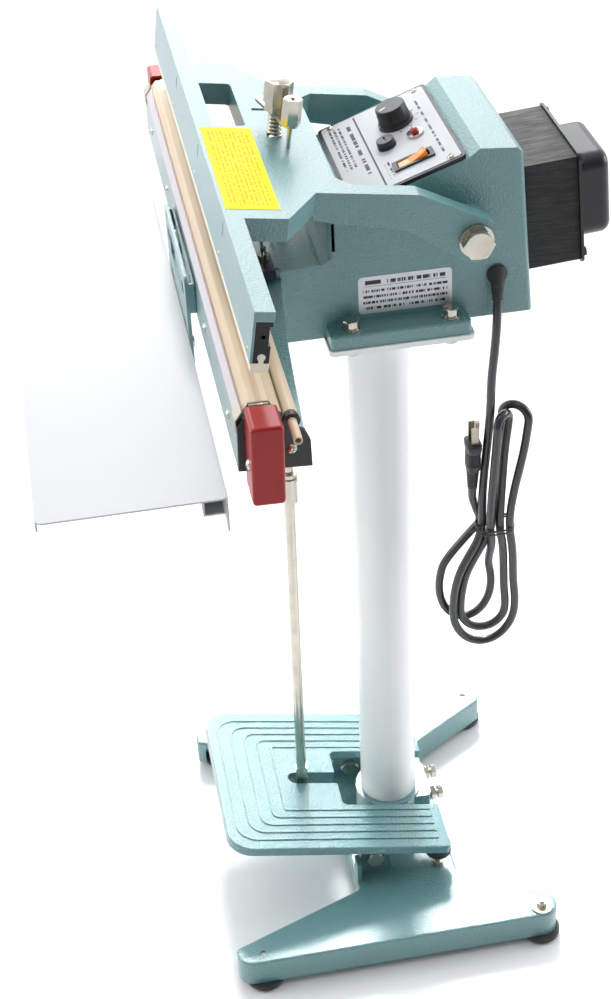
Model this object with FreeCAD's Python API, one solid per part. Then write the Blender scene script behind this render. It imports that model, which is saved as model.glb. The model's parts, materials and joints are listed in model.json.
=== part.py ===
import FreeCAD, Part
import math
import os

# Foot-operated impulse heat sealer on a pedestal, in millimetres.
# X runs along the jaws, Y from the operator (-Y) to the back, Z up.
# The origin is on the floor, under the axis of the column.

V = FreeCAD.Vector
BEVEL = 1.7              # slope of the bevel on nuts and bolt heads

# ---- stand -------------------------------------------------------------
FOOT_R = 20.0            # rubber foot
FOOT_TOP = 9.0
FOOT_X = 171.0
FOOT_YS = (-171.0, 129.0)
STUD_R = 3.0
BASE_TOP = 40.0
BASE_SKIN = 9.0          # thickness of the base's top wall and rim
BASE_X = 184.0           # half length of the bow-tie foot
BASE_FRONT = -198.0
BASE_REAR = 146.0
TOE_SLANT = 24.0         # how far the toe's corner is set in from its end
WEB_FRONT = -56.0        # the narrow middle of the foot
WEB_REAR = 54.0
WEB_X_FRONT = 106.0
WEB_X_REAR = 102.0
SOCKET_R = 36.0
SOCKET_TOP = 86.0
COLUMN_R = 30.0
COLUMN_BORE = 27.0
COLUMN_FOOT = 12.0
COLUMN_TOP = 708.7
LOCK_XS = (-17.0, 17.0)  # two screws that hold the column
LOCK_Z = 76.0
LOCK_R = 4.0
BOSS_REAR = 44.0         # flat that the lock nuts bear on

# ---- pedal -------------------------------------------------------------
PEDAL_PIVOT = V(0, -33, 62)
PEDAL_PIN_R = 5.0
PEDAL_FRONT = V(0, -190, 132.5)
PEDAL_TILT = 11.6        # degrees, front up
PEDAL_X = 107.5
PEDAL_LENGTH = 242.0
PEDAL_SKIN = 6.0
PEDAL_RIM = 10.0         # full depth of the rim
NOTCH_X = 43.0
NOTCH_FRONT = 134.0
LUG_X = 72.0             # inner face of the lugs on the base
LUG_T = 10.0
REST_XS = (-88.0, 88.0)  # rubber rests under the pedal's two rear arms
REST_Y = 36.0
REST_TOP = 73.6
REST_H = 13.0
RIDGE_COUNT = 5
RIDGE_H = 1.2
RIDGE_W = 2.4

# ---- pull rod ----------------------------------------------------------
ROD_PIN = V(0, -97, 97)
ROD_PIN_R = 4.0
ROD_R = 5.5
ROD_TOP_Y = -157.0       # where the rod meets the arm, in the level arm frame
ROD_EYE_T = 8.0
COUPLING_AT = 392.0      # along the rod

# ---- arm and upper jaw, in a level frame whose origin is the pivot ------
ARM_PIVOT = V(0, 62, 810)
OPEN_TILT = 8.5          # degrees, arm's top plane with the jaws open
ARM_TOP = 40.0           # above the pivot
TRAY_BOTTOM = 20.0
ARM_X = 164.0
RAIL_X = 115.0
RAIL_IN = 97.0
RAIL_FRONT = -141.5
ARM_EYE_R = 20.0
ARM_PIN_R = 8.0
JAW_Y = -215.5           # upper jaw's centre
JAW_W = 15.5
JAW_X = 316.0
JAW_BOTTOM = -9.5
BAR_BOTTOM = -2.1
JAW_SCREW_X = (-304.0, -152.0, 0.0, 152.0, 304.0)
ADJUSTER_X = 27.0        # screw that tilts the keeper strip
ADJUSTER_Y = -149.5
SPRING_TOP = ARM_TOP + 20.0
KEEPER_T = 2.5
SPRING_WIRE_R = 1.1
SPRING_MEAN_R = 5.9
SPRING_BORE_R = 3.8      # stud inside the spring

# ---- lower jaw, in a frame whose origin is the sealing face -------------
SEAL = V(0, -153.75, 806.3)
JAW_LEAN = 1.5           # degrees
LOWER_X = 321.0
FACE_Y = -16.0           # front of the casting
FACE_T = 2.0
FACE_SCREW_X = (-270.0, -135.0, 0.0, 135.0, 270.0)
FACE_SCREW_Z = -36.0
END_T = 4.0
END_SCREW_Y = 22.5
END_SCREW_Z = -40.0
CAP_OUT = 352.5
CAP_Y = 12.5
CAP_SCREW_X = 338.0
CAP_SCREW_Z = -38.0
CAP_WALL = 3.0
ROLL_Y = 23.0            # cloth roll behind the jaw
ROLL_Z = -15.5
CLOTH_T = 0.5
LEDGE_Z = -27.0          # top of the casting's rear ledge
WING_T = 9.0
WING_EDGE = [(317.0, 33.0), (250.0, 37.5), (180.0, 43.0), (108.0, 51.0), (70.0, 56.5)]
SCREW_HOLE_R = 2.1
WING = V(62, -111, 785)  # clip on the jaw's root

# ---- head --------------------------------------------------------------
BODY_X = 80.0
BODY_FRONT = -58.0
BODY_BOTTOM = 716.0
BODY_REAR = 81.0
WALL = 5.0
PANEL = V(0, -36.5, 835.5)
PANEL_SLOPE = 19.4       # degrees
PANEL_X = 78.0
PANEL_LENGTH = 105.0
PANEL_SEAT = 2.5         # bezel's depth below the panel's face plane
BEZEL_W = 3.0
PLATE_TOP = 1.4
FLANGE_X = 104.0
FLANGE_Y = 62.5
FLANGE_BOTTOM = 713.5
FLANGE_TOP = 727.0
BOLT_XS = (-92.0, 92.0)
BOLT_YS = (-42.0, 46.0)
BOLT_R = 4.0
NECK_FRONT = -97.0
NECK_BOTTOM = 714.0
NECK_TOP = 784.0
COVER_REAR_LOW = 123.6
COVER_REAR_HIGH = 112.0
RIDGE_Z = 876.0
TRANSFORMER = V(0, 118.0, 793.0)
REAR_LEAN = 4.5          # degrees
CORE_X = 56.0
CORE_Z = 50.0
GROMMET = V(BODY_X, 90.0, 756.5)
GROMMET_R = 7.0

# ---- controls, in the panel's frame -------------------------------------
KNOB = V(-28, 66.5, 0)
LAMP = V(7.5, 76.5, 0)
FUSE = V(6.5, 50.0, 0)
SWITCH = V(50, 64.5, 0)
PANEL_SCREW_XS = (-71.0, 71.0)
PANEL_SCREW_YS = (12.0, 93.0)
PANEL_SCREW_R = 1.8
ROCKER_H = 1.0           # pivot of the rocker above the panel's face
ROCKER_TIP = 12.0        # degrees either way; it rests with its front end down

# ---- table -------------------------------------------------------------
TABLE_X = 316.6
TABLE_FRONT = -329.0
TABLE_REAR = -182.0
TABLE_Z = 726.0
TABLE_T = 1.5
TABLE_FLANGE = 36.0
TABLE_SCREW_X = (-45.0, 45.0)
TABLE_SCREW_Z = 707.0
BRACKET_X = 75.0
BRACKET_T = 3.0
BRACKET_BACK = -173.2
BRACKET_SCREW_X = (-52.0, 52.0)
BRACKET_SCREW_Z = 766.0

# ---- cord --------------------------------------------------------------
CORD_R = 4.0
CORD_ROUTE = [
    V(92.0, 88.0, 737.0),
    V(96.0, 87.0, 722.0),
    V(98.5, 85.0, 694.0),
    V(98.5, 82.0, 660.0),
    V(98.5, 82.0, 627.0),
]
HANK_X = 98.5
HANK_HALF = 13.0
HANK_TOP = 627.0
TIE_Z = 499.0
PLUG_Y = 66.0
PLUG_BOTTOM = 566.0
PLUG_TOP = 597.0
RELIEF_BOTTOM = 546.0

FEET = [(x, y) for x in (-FOOT_X, FOOT_X) for y in FOOT_YS]
RESTS = [(x, REST_Y) for x in REST_XS]
FLANGE_BOLTS = [(x, y) for x in BOLT_XS for y in BOLT_YS]


def box(x0, x1, y0, y1, z0, z1):
    return Part.makeBox(x1 - x0, y1 - y0, z1 - z0, V(x0, y0, z0))


def cyl(r, h, at, axis=V(0, 0, 1)):
    return Part.makeCylinder(r, h, at, axis)


def ring(r_out, r_in, h, at, axis=V(0, 0, 1)):
    return cyl(r_out, h, at, axis).cut(cyl(r_in, h, at, axis))


def prism_x(points, x0, x1):
    """Outline in (y, z), drawn along X."""
    loop = [V(x0, y, z) for y, z in points]
    wire = Part.makePolygon(loop + [loop[0]])
    return Part.Face(wire).extrude(V(x1 - x0, 0, 0))


def prism_z(points, z0, z1):
    """Outline in (x, y), drawn along Z."""
    loop = [V(x, y, z0) for x, y in points]
    wire = Part.makePolygon(loop + [loop[0]])
    return Part.Face(wire).extrude(V(0, 0, z1 - z0))


def prism_y(points, y0, y1):
    """Outline in (x, z), drawn along Y."""
    loop = [V(x, y0, z) for x, z in points]
    wire = Part.makePolygon(loop + [loop[0]])
    return Part.Face(wire).extrude(V(0, y1 - y0, 0))


def hexagon(flat, h, at, axis=V(0, 0, 1)):
    """Hexagonal bar, its width across flats given, with its end corners turned off."""
    corners = [math.radians(60 * k + 30) for k in range(7)]
    r = flat / math.sqrt(3)
    loop = [V(r * math.cos(a), r * math.sin(a), 0) for a in corners]
    bar = Part.Face(Part.makePolygon(loop)).extrude(V(0, 0, h))
    end_r = flat / 2 - 0.1
    bar = bar.common(Part.makeCone(end_r + BEVEL * h, end_r, h))
    bar.Placement = FreeCAD.Placement(at, FreeCAD.Rotation(V(0, 0, 1), axis))
    return bar


def round_edges(shape, r, pick):
    """Rounds the edges that pick(edge) chooses; leaves them sharp if the radius can't fit."""
    edges = [e for e in shape.Edges if pick(e)]
    if not edges:
        return shape
    done = shape.makeFillet(r, edges)
    return done if done.isValid() and done.Volume > 0 else shape


def along(axis, length=0.0):
    """Chooses straight edges that run along an axis and are longer than a length."""
    def pick(edge):
        if edge.Curve.TypeId != "Part::GeomLine" or edge.Length <= length:
            return False
        a, b = edge.Vertexes[0].Point, edge.Vertexes[-1].Point
        return abs(b.sub(a).normalize().dot(axis)) > 0.999
    return pick


def mirrored(shape):
    return shape.mirror(V(0, 0, 0), V(1, 0, 0))


def both_sides(shape):
    return [shape, mirrored(shape)]


def turned(shape, at, degrees):
    """Turned about an axis along X through a point; positive takes the front down."""
    done = shape.copy()
    done.rotate(at, V(1, 0, 0), degrees)
    return done


def moved(shape, by):
    done = shape.copy()
    done.translate(by)
    return done


def on_arm(shape):
    """From the level arm frame, whose origin is the pivot, to the open position."""
    return turned(moved(shape, ARM_PIVOT), ARM_PIVOT, -OPEN_TILT)


def on_jaw(shape):
    """From the lower jaw's upright frame, whose origin is the sealing face."""
    return turned(moved(shape, SEAL), SEAL, -JAW_LEAN)


def on_panel(shape):
    """From the panel's flat frame: x across, y up the slope, z out of it."""
    return turned(moved(shape, PANEL), PANEL, PANEL_SLOPE)


def on_pedal(shape):
    """From the pedal's flat frame, whose origin is under its front edge's middle."""
    return turned(moved(shape, PEDAL_FRONT), PEDAL_FRONT, -PEDAL_TILT)


def on_rear(shape):
    """From the transformer's upright frame, y out of the rear cover."""
    return turned(moved(shape, TRANSFORMER), TRANSFORMER, REAR_LEAN)


def save(name, *shapes):
    solids = []
    for shape in shapes:
        solids += shape.Solids
    for solid in solids:
        if not solid.isValid() or not solid.isClosed():
            print("CHECK", name, "has a solid that isn't closed and valid")
    Part.makeCompound(solids).exportStep("parts/" + name + ".step")


def button_screw(r, height, at, axis, shank=6.0):
    """A round-headed screw with a cross recess; its head stands out along the axis."""
    head = Part.makeSphere(r * 1.15, V(0, 0, height - r * 1.15), V(0, 0, 1), -90, 90, 360)
    head = head.common(cyl(r, height, V(0, 0, 0)))
    slot = box(-r * 0.55, r * 0.55, -0.5, 0.5, height * 0.45, height + 1)
    cross = slot.fuse(box(-0.5, 0.5, -r * 0.55, r * 0.55, height * 0.45, height + 1))
    screw = head.cut(cross).fuse(cyl(r * 0.5, shank, V(0, 0, -shank))).removeSplitter()
    screw.Placement = FreeCAD.Placement(at, FreeCAD.Rotation(V(0, 0, 1), axis))
    return screw


# ======================= stand ==========================================

def base_outline(inset):
    """Bow-tie outline, each side moved in by the inset."""
    x, i = BASE_X - inset, inset
    toe = x - TOE_SLANT + i * 0.5
    front = [(WEB_X_FRONT + i * 0.4, WEB_FRONT + i), (toe, BASE_FRONT + i), (x, BASE_FRONT + i)]
    rear = [(x, BASE_REAR - i), (toe, BASE_REAR - i), (WEB_X_REAR + i * 0.4, WEB_REAR - i)]
    right = front + rear
    return right + [(-px, py) for px, py in reversed(right)]


def base_casting():
    body = prism_z(base_outline(0), FOOT_TOP, BASE_TOP)
    body = round_edges(body, 6, lambda e: along(V(0, 0, 1))(e) and abs(e.CenterOfMass.x) < BASE_X - 10)
    body = round_edges(body, 16, lambda e: along(V(0, 0, 1))(e) and abs(e.CenterOfMass.x) > BASE_X - 1)
    body = round_edges(body, 2.5, lambda e: abs(e.CenterOfMass.z - BASE_TOP) < 0.1)
    body = body.cut(prism_z(base_outline(BASE_SKIN), FOOT_TOP - 1, BASE_TOP - BASE_SKIN))
    body = body.fuse(cyl(SOCKET_R, SOCKET_TOP - FOOT_TOP, V(0, 0, FOOT_TOP)))
    boss = box(-27, 27, 0, BOSS_REAR, 64, SOCKET_TOP - 2)
    body = body.fuse(boss.common(cyl(49, 30, V(0, 0, 60))))
    inside = prism_z(base_outline(1), FOOT_TOP, BASE_TOP)
    for x, y in FEET:
        body = body.fuse(cyl(11, BASE_TOP - FOOT_TOP - 2, V(x, y, FOOT_TOP)).common(inside))
    for lug in both_sides(base_lug()):
        body = body.fuse(lug)
    body = body.cut(cyl(COLUMN_R, 100, V(0, 0, COLUMN_FOOT)))
    for side in (-1, 1):
        start = V(side * (LUG_X - 2), PEDAL_PIVOT.y, PEDAL_PIVOT.z)
        body = body.cut(cyl(PEDAL_PIN_R + 0.05, 30, start, V(side, 0, 0)))
    for x in LOCK_XS:
        body = body.cut(cyl(LOCK_R, 40, V(x, 20, LOCK_Z), V(0, 1, 0)))
    for x, y in FEET + RESTS:
        body = body.cut(cyl(STUD_R, 50, V(x, y, 0)))
    save("base_casting", body.removeSplitter())


def base_lug():
    """Upright lug for one of the pedal's bolts, with a rib on its outer side."""
    lug = prism_x([(WEB_FRONT + 1, 38), (-14, 38), (-18, 66), (-25, 74), (-40, 74), (-48, 66)],
                  LUG_X, LUG_X + LUG_T)
    outer = LUG_X + LUG_T
    return lug.fuse(box(outer - 1, outer + 15, WEB_FRONT + 1, WEB_FRONT + 6, 38, 66))


def rubber_feet():
    feet = []
    for x, y in FEET:
        foot = Part.makeCone(FOOT_R - 3, FOOT_R, 4, V(x, y, 0)).fuse(cyl(FOOT_R, FOOT_TOP - 4, V(x, y, 4)))
        foot = foot.removeSplitter().cut(cyl(5, 4, V(x, y, 0)))
        feet.append(foot.cut(cyl(STUD_R, FOOT_TOP, V(x, y, 0))))
    save("rubber_feet", *feet)


def base_studs():
    """Studs of the feet and of the pedal's rests; the right rear foot's has a wide washer and a nut."""
    studs = []
    for x, y in FEET:
        stud = cyl(STUD_R, BASE_TOP - 2 - 4, V(x, y, 4)).fuse(cyl(4.8, 2.5, V(x, y, 1.5)))
        if x > 0 and y > 0:
            stud = stud.fuse(cyl(STUD_R, 12, V(x, y, BASE_TOP - 2)))
            stud = stud.fuse(cyl(11.5, 2.0, V(x, y, BASE_TOP)))
            stud = stud.fuse(hexagon(10, 5, V(x, y, BASE_TOP + 2)))
        studs.append(stud.removeSplitter())
    for x, y in RESTS:
        start = BASE_TOP - BASE_SKIN
        stud = cyl(STUD_R, REST_TOP - 5 - start, V(x, y, start))
        studs.append(stud.fuse(hexagon(10, 5, V(x, y, BASE_TOP))).removeSplitter())
    save("base_studs", *studs)


def column():
    save("column_tube", ring(COLUMN_R, COLUMN_BORE, COLUMN_TOP - COLUMN_FOOT, V(0, 0, COLUMN_FOOT)))
    margin = 1.5
    plate = box(-FLANGE_X - margin, FLANGE_X + margin, -FLANGE_Y - margin, FLANGE_Y + 2 * margin,
                COLUMN_TOP, FLANGE_BOTTOM)
    plate = round_edges(plate, 5, along(V(0, 0, 1)))
    for x, y in FLANGE_BOLTS:
        plate = plate.cut(cyl(BOLT_R, 20, V(x, y, COLUMN_TOP - 5)))
    save("column_top_plate", plate)
    screws = []
    for x in LOCK_XS:
        shank = cyl(LOCK_R, 33, V(x, 20.0, LOCK_Z), V(0, 1, 0))
        shank = shank.cut(cyl(COLUMN_R + 0.02, 100, V(0, 0, 20)))
        head = hexagon(13, 5.5, V(x, BOSS_REAR + 8.5, LOCK_Z), V(0, 1, 0))
        nut = hexagon(13, 5, V(x, BOSS_REAR + 1, LOCK_Z), V(0, 1, 0))
        screws.append(shank.fuse([head, nut]).removeSplitter())
    save("column_lock_bolts", *screws)


# ======================= pedal and pull rod =============================

def pedal_outline(inset):
    x = PEDAL_X - inset
    return [(-x, inset), (x, inset), (x, PEDAL_LENGTH - inset), (-x, PEDAL_LENGTH - inset)]


def pedal_slab(inset, z0, z1, corner):
    slab = prism_z(pedal_outline(inset), z0, z1)
    slab = round_edges(slab, corner, lambda e: along(V(0, 0, 1))(e) and e.CenterOfMass.y < 60)
    return round_edges(slab, 6, lambda e: along(V(0, 0, 1))(e) and e.CenterOfMass.y > 60)


def pedal_loop(side, front, corner, z0, z1):
    """A slab that leaves a margin at the pedal's sides and another at its front."""
    x = PEDAL_X - side
    slab = prism_z([(-x, front), (x, front), (x, PEDAL_LENGTH - 12), (-x, PEDAL_LENGTH - 12)], z0, z1)
    return round_edges(slab, corner, lambda e: along(V(0, 0, 1))(e) and e.CenterOfMass.y < 100)


def pedal_ridge(k):
    """A raised line round the front and both sides; each line is further in than the last."""
    side, front, corner = 12.5 + 10.9 * k, 10 + 14.2 * k, 22 - 4.5 * k
    line = pedal_loop(side, front, corner, -0.5, RIDGE_H)
    return line.cut(pedal_loop(side + RIDGE_W, front + RIDGE_W, corner - 0.6 * RIDGE_W, -1, RIDGE_H + 1).fuse(
        box(RIDGE_W + side - PEDAL_X, PEDAL_X - side - RIDGE_W, 150, PEDAL_LENGTH, -1, RIDGE_H + 1)))


def pedal_casting():
    skin = pedal_slab(0, -PEDAL_RIM, 0, 26)
    skin = round_edges(skin, 1.5, lambda e: abs(e.CenterOfMass.z) < 0.1)
    pedal = skin.cut(pedal_slab(5, -PEDAL_RIM - 1, -PEDAL_SKIN, 22))
    for k in range(RIDGE_COUNT):
        pedal = pedal.fuse(pedal_ridge(k))
    notch = box(-NOTCH_X, NOTCH_X, NOTCH_FRONT, 300, -40, 10)
    notch = round_edges(notch, 7, lambda e: along(V(0, 0, 1))(e) and e.CenterOfMass.y < 200)
    wall = box(-NOTCH_X - 5, NOTCH_X + 5, NOTCH_FRONT - 5, PEDAL_LENGTH - 6, -PEDAL_RIM, -2)
    slot_half = ROD_R + 3.2
    slot = box(-slot_half, slot_half, 88.5, 160, -30, 10).fuse(cyl(slot_half, 40, V(0, 88.5, -30)))
    slot_wall = box(-15, 15, 90, NOTCH_FRONT - 1, -22, -2).fuse(cyl(15, 20, V(0, 90, -22)))
    pedal = on_pedal(pedal.fuse([wall, slot_wall]).cut(notch).cut(slot))
    ear = prism_x([(-70, 98), (-14, 86), (-22, 62), (-26, 55), (-33, 52), (-40, 55), (-46, 66)],
                  LUG_X - 10.5, LUG_X - 0.5)
    for side in both_sides(ear):
        pedal = pedal.fuse(side)
    pedal = pedal.cut(cyl(PEDAL_PIN_R + 0.05, 200, V(-100, PEDAL_PIVOT.y, PEDAL_PIVOT.z), V(1, 0, 0)))
    pedal = pedal.fuse(cyl(ROD_PIN_R, 22, V(-11, ROD_PIN.y, ROD_PIN.z), V(1, 0, 0)))
    save("pedal_casting", pedal.removeSplitter())


def pedal_bolts():
    bolts = []
    for side in (-1, 1):
        axis = V(side, 0, 0)
        start = V(side * (LUG_X - 12), PEDAL_PIVOT.y, PEDAL_PIVOT.z)
        shank = cyl(PEDAL_PIN_R, LUG_T + 12.5, start, axis)
        head = hexagon(17, 8, start.add(V(side * (LUG_T + 12), 0, 0)), axis)
        nut = hexagon(17, 6, start.add(V(-side * 5, 0, 0)), axis)
        bolts.append(shank.fuse([head, nut]).removeSplitter())
    save("pedal_bolts", *bolts)


def pedal_bumpers():
    pads = []
    for x, y in RESTS:
        pad = cyl(14, REST_H, V(x, y, REST_TOP - REST_H))
        pad = round_edges(pad, 2.5, lambda e: abs(e.CenterOfMass.z - REST_TOP) < 0.1)
        pads.append(pad.cut(cyl(STUD_R, 8, V(x, y, REST_TOP - REST_H))))
    save("pedal_bumpers", *pads)


def rod_top():
    """Where the rod meets the arm's top plate, in the open position."""
    return on_arm(Part.Vertex(V(0, ROD_TOP_Y, ARM_TOP - 3))).Point


def pull_rod():
    line = rod_top().sub(ROD_PIN)
    length = line.Length
    axis = V(line).normalize()
    half = ROD_EYE_T / 2
    rod = cyl(ROD_R, length - 60, ROD_PIN.add(V(axis).multiply(6)), axis)
    for side in (-1, 1):
        slab = box(half, 20, ROD_PIN.y - 25, ROD_PIN.y + 25, ROD_PIN.z - 17, ROD_PIN.z + 27)
        rod = rod.cut(slab if side > 0 else mirrored(slab))
    stud = cyl(4.0, length - 2, ROD_PIN.add(V(axis).multiply(4)), axis)
    eye = cyl(8.0, ROD_EYE_T, V(-half, ROD_PIN.y, ROD_PIN.z), V(1, 0, 0))
    flat = moved(box(-half, half, -6.5, 6.5, 0, 34), ROD_PIN)
    flat = turned(flat, ROD_PIN, math.degrees(math.atan2(-axis.y, axis.z)))
    rod = rod.fuse([stud, eye, flat])
    rod = rod.cut(cyl(ROD_PIN_R + 0.05, 12, V(-6, ROD_PIN.y, ROD_PIN.z), V(1, 0, 0)))
    save("pull_rod", rod.removeSplitter())
    sleeve = ring(9.0, ROD_R, 34, ROD_PIN.add(V(axis).multiply(COUPLING_AT)), axis)
    collar = ring(10.5, ROD_R, 3, ROD_PIN.add(V(axis).multiply(COUPLING_AT + 26)), axis)
    save("rod_coupling", sleeve.fuse(collar).removeSplitter())


# ======================= head ===========================================

def body_profile(inset):
    """Side of the head's casting; its top slopes with the panel."""
    slope = math.tan(math.radians(PANEL_SLOPE))
    seat = PANEL.z - (PANEL_SEAT + 0.02) / math.cos(math.radians(PANEL_SLOPE)) - PANEL.y * slope
    ridge_y = 74.0
    drop = inset * 1.1
    bottom = BODY_BOTTOM - (1 if inset else 0)
    return [(BODY_FRONT + inset, bottom), (BODY_FRONT + inset, seat + BODY_FRONT * slope - inset),
            (63.2, seat + 63.2 * slope - drop), (ridge_y, RIDGE_Z - drop),
            (BODY_REAR, RIDGE_Z - 0.7 - drop), (BODY_REAR, bottom)]


def body_casting():
    body = prism_x(body_profile(0), -BODY_X, BODY_X)
    body = round_edges(body, 5, lambda e: along(V(0, 0, 1), 60)(e) and e.CenterOfMass.y < 0)
    neck = prism_x([(NECK_FRONT, NECK_BOTTOM), (NECK_FRONT, NECK_TOP), (-64, NECK_TOP + 2),
                    (-50, NECK_TOP + 10), (-50, NECK_BOTTOM)], -BODY_X, BODY_X)
    flange = box(-FLANGE_X, FLANGE_X, -FLANGE_Y, FLANGE_Y, FLANGE_BOTTOM, FLANGE_TOP)
    flange = round_edges(flange, 4, along(V(0, 0, 1)))
    flange = round_edges(flange, 2, lambda e: abs(e.CenterOfMass.z - FLANGE_TOP) < 0.1)
    body = body.fuse(neck).fuse(flange)
    hollow = prism_x(body_profile(WALL), -BODY_X + WALL, BODY_X - WALL)
    body = body.cut(hollow.common(box(-90, 90, BODY_FRONT + WALL, 90, FLANGE_TOP, 900)))
    body = body.cut(box(-BODY_X + WALL, BODY_X - WALL, NECK_FRONT + WALL, BODY_FRONT - 2,
                        NECK_BOTTOM - 1, NECK_TOP - WALL))
    body = body.fuse(box(-14, 14, NECK_FRONT, -70, NECK_BOTTOM, NECK_TOP))
    body = body.cut(rod_tunnel())
    body = body.cut(box(BODY_X - 18, BODY_X + 1, BODY_FRONT + 3.2, BODY_FRONT + 6.0, 797, 823))
    for side in (-1, 1):
        axis = V(side, 0, 0)
        start = V(side * (BODY_X - WALL), ARM_PIVOT.y, ARM_PIVOT.z)
        body = body.fuse(cyl(17, RAIL_IN - 0.4 - BODY_X + WALL, start, axis))
        body = body.cut(cyl(ARM_PIN_R, 60, start.sub(axis), axis))
    for x, y in FLANGE_BOLTS:
        body = body.cut(cyl(BOLT_R, 40, V(x, y, FLANGE_BOTTOM - 5)))
    for shape in panel_holes():
        body = body.cut(shape)
    save("body_casting", body.removeSplitter())


def rod_tunnel():
    """The rod's way up through the neck, long enough for its swing."""
    front, rear, r = -102, -84, 8
    tunnel = box(-r, r, front, rear, 690, 800)
    return tunnel.fuse([cyl(r, 110, V(0, y, 690)) for y in (front, rear)])


def flange_bolts():
    bolts = []
    for x, y in FLANGE_BOLTS:
        bolt = cyl(BOLT_R, FLANGE_TOP - COLUMN_TOP + 9, V(x, y, COLUMN_TOP - 8))
        bolt = bolt.fuse(cyl(8.3, 1.6, V(x, y, FLANGE_TOP)))
        bolt = bolt.fuse(ring(6.6, BOLT_R - 0.1, 1.9, V(x, y, FLANGE_TOP + 1.6)))
        bolt = bolt.fuse(hexagon(13, 5.6, V(x, y, FLANGE_TOP + 3.5)))
        bolt = bolt.fuse(hexagon(13, 6, V(x, y, COLUMN_TOP - 6)))
        bolts.append(bolt.removeSplitter())
    save("flange_bolts", *bolts)


def cover_outline(i):
    return [(BODY_REAR, BODY_BOTTOM + i), (BODY_REAR, RIDGE_Z - 0.7 - i), (106 - i, 873 - i),
            (COVER_REAR_HIGH - i, 867 - i), (COVER_REAR_LOW - i, BODY_BOTTOM + i)]


def rear_cover():
    cover = prism_x(cover_outline(0), -BODY_X, BODY_X)
    lean = V(0, COVER_REAR_HIGH - COVER_REAR_LOW, 867 - BODY_BOTTOM).normalize()
    cover = round_edges(cover, 5, lambda e: along(lean, 60)(e) and e.CenterOfMass.y > 105)
    wall = WALL - 1
    cover = cover.cut(prism_x(cover_outline(wall), -BODY_X + wall, BODY_X - wall))
    cover = cover.cut(cyl(GROMMET_R, 20, V(BODY_X - 10, GROMMET.y, GROMMET.z), V(1, 0, 0)))
    window = on_rear(box(-CORE_X, CORE_X, -25, 30, -CORE_Z, CORE_Z))
    save("rear_cover", cover.cut(window).removeSplitter())


def transformer():
    core = on_rear(box(-CORE_X, CORE_X, -25, 52, -CORE_Z, CORE_Z))
    save("transformer_core", core)
    lip = box(-60, 60, 52, 54.5, -53, 53)
    lip = round_edges(lip, 6, along(V(0, 1, 0)))
    bell = box(-42, 42, 54.5, 86, -40, 40)
    bell = round_edges(bell, 14, along(V(0, 1, 0)))
    bell = round_edges(bell, 9, lambda e: abs(e.CenterOfMass.y - 86) < 0.1)
    bell = lip.fuse(bell)
    for x in (-52, 52):
        for z in (-45, 45):
            bell = bell.fuse(moved(hexagon(8, 3.5, V(0, 0, 0), V(0, 1, 0)), V(x, 54.5, z)))
    save("transformer_bell", on_rear(bell.removeSplitter()))


def rating_plate():
    plate = box(BODY_X, BODY_X + 0.4, -33, 50, 733, 769)
    plate = round_edges(plate, 4, along(V(1, 0, 0)))
    save("rating_plate", plate)


# ---- control panel ------------------------------------------------------


def panel_holes():
    """Holes through the panel, its plate and the casting under it."""
    holes = []
    for at, r in ((KNOB, 3.05), (LAMP, 5.0), (FUSE, 6.0)):
        holes.append(on_panel(cyl(r, 30, at.add(V(0, 0, -20)))))
    holes.append(on_panel(box(SWITCH.x - 6.5, SWITCH.x + 6.5, SWITCH.y - 16, SWITCH.y + 16, -20, 10)))
    return holes


def panel():
    edge = PANEL_X - BEZEL_W
    bezel = box(-PANEL_X, PANEL_X, 0, PANEL_LENGTH, -PANEL_SEAT, 1.0)
    bezel = round_edges(bezel, 4, along(V(0, 0, 1)))
    plate = box(-edge, edge, BEZEL_W, PANEL_LENGTH - BEZEL_W, 0.0, PLATE_TOP)
    plate = round_edges(plate, 3, along(V(0, 0, 1)))
    bezel = bezel.cut(box(-edge, edge, BEZEL_W, PANEL_LENGTH - BEZEL_W, 0.0, 3))
    plate = plate.cut(box(2 - edge, edge - 2, 34.4, 35.2, 1.2, 2))
    bezel, plate = on_panel(bezel), on_panel(plate)
    for hole in panel_holes():
        bezel = bezel.cut(hole)
        plate = plate.cut(hole)
    screws = []
    for x in PANEL_SCREW_XS:
        for y in PANEL_SCREW_YS:
            shank = on_panel(cyl(PANEL_SCREW_R, 12, V(x, y, -5)))
            bezel, plate = bezel.cut(shank), plate.cut(shank)
            screw = button_screw(3.6, 2.4, V(x, y, PLATE_TOP), V(0, 0, 1), PANEL_SEAT + PLATE_TOP - 0.1)
            screws.append(on_panel(screw.common(box(-90, 90, 0, 110, -PANEL_SEAT, 10))))
    save("panel_bezel", bezel)
    save("panel_plate", plate)
    save("panel_screws", *screws)


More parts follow.
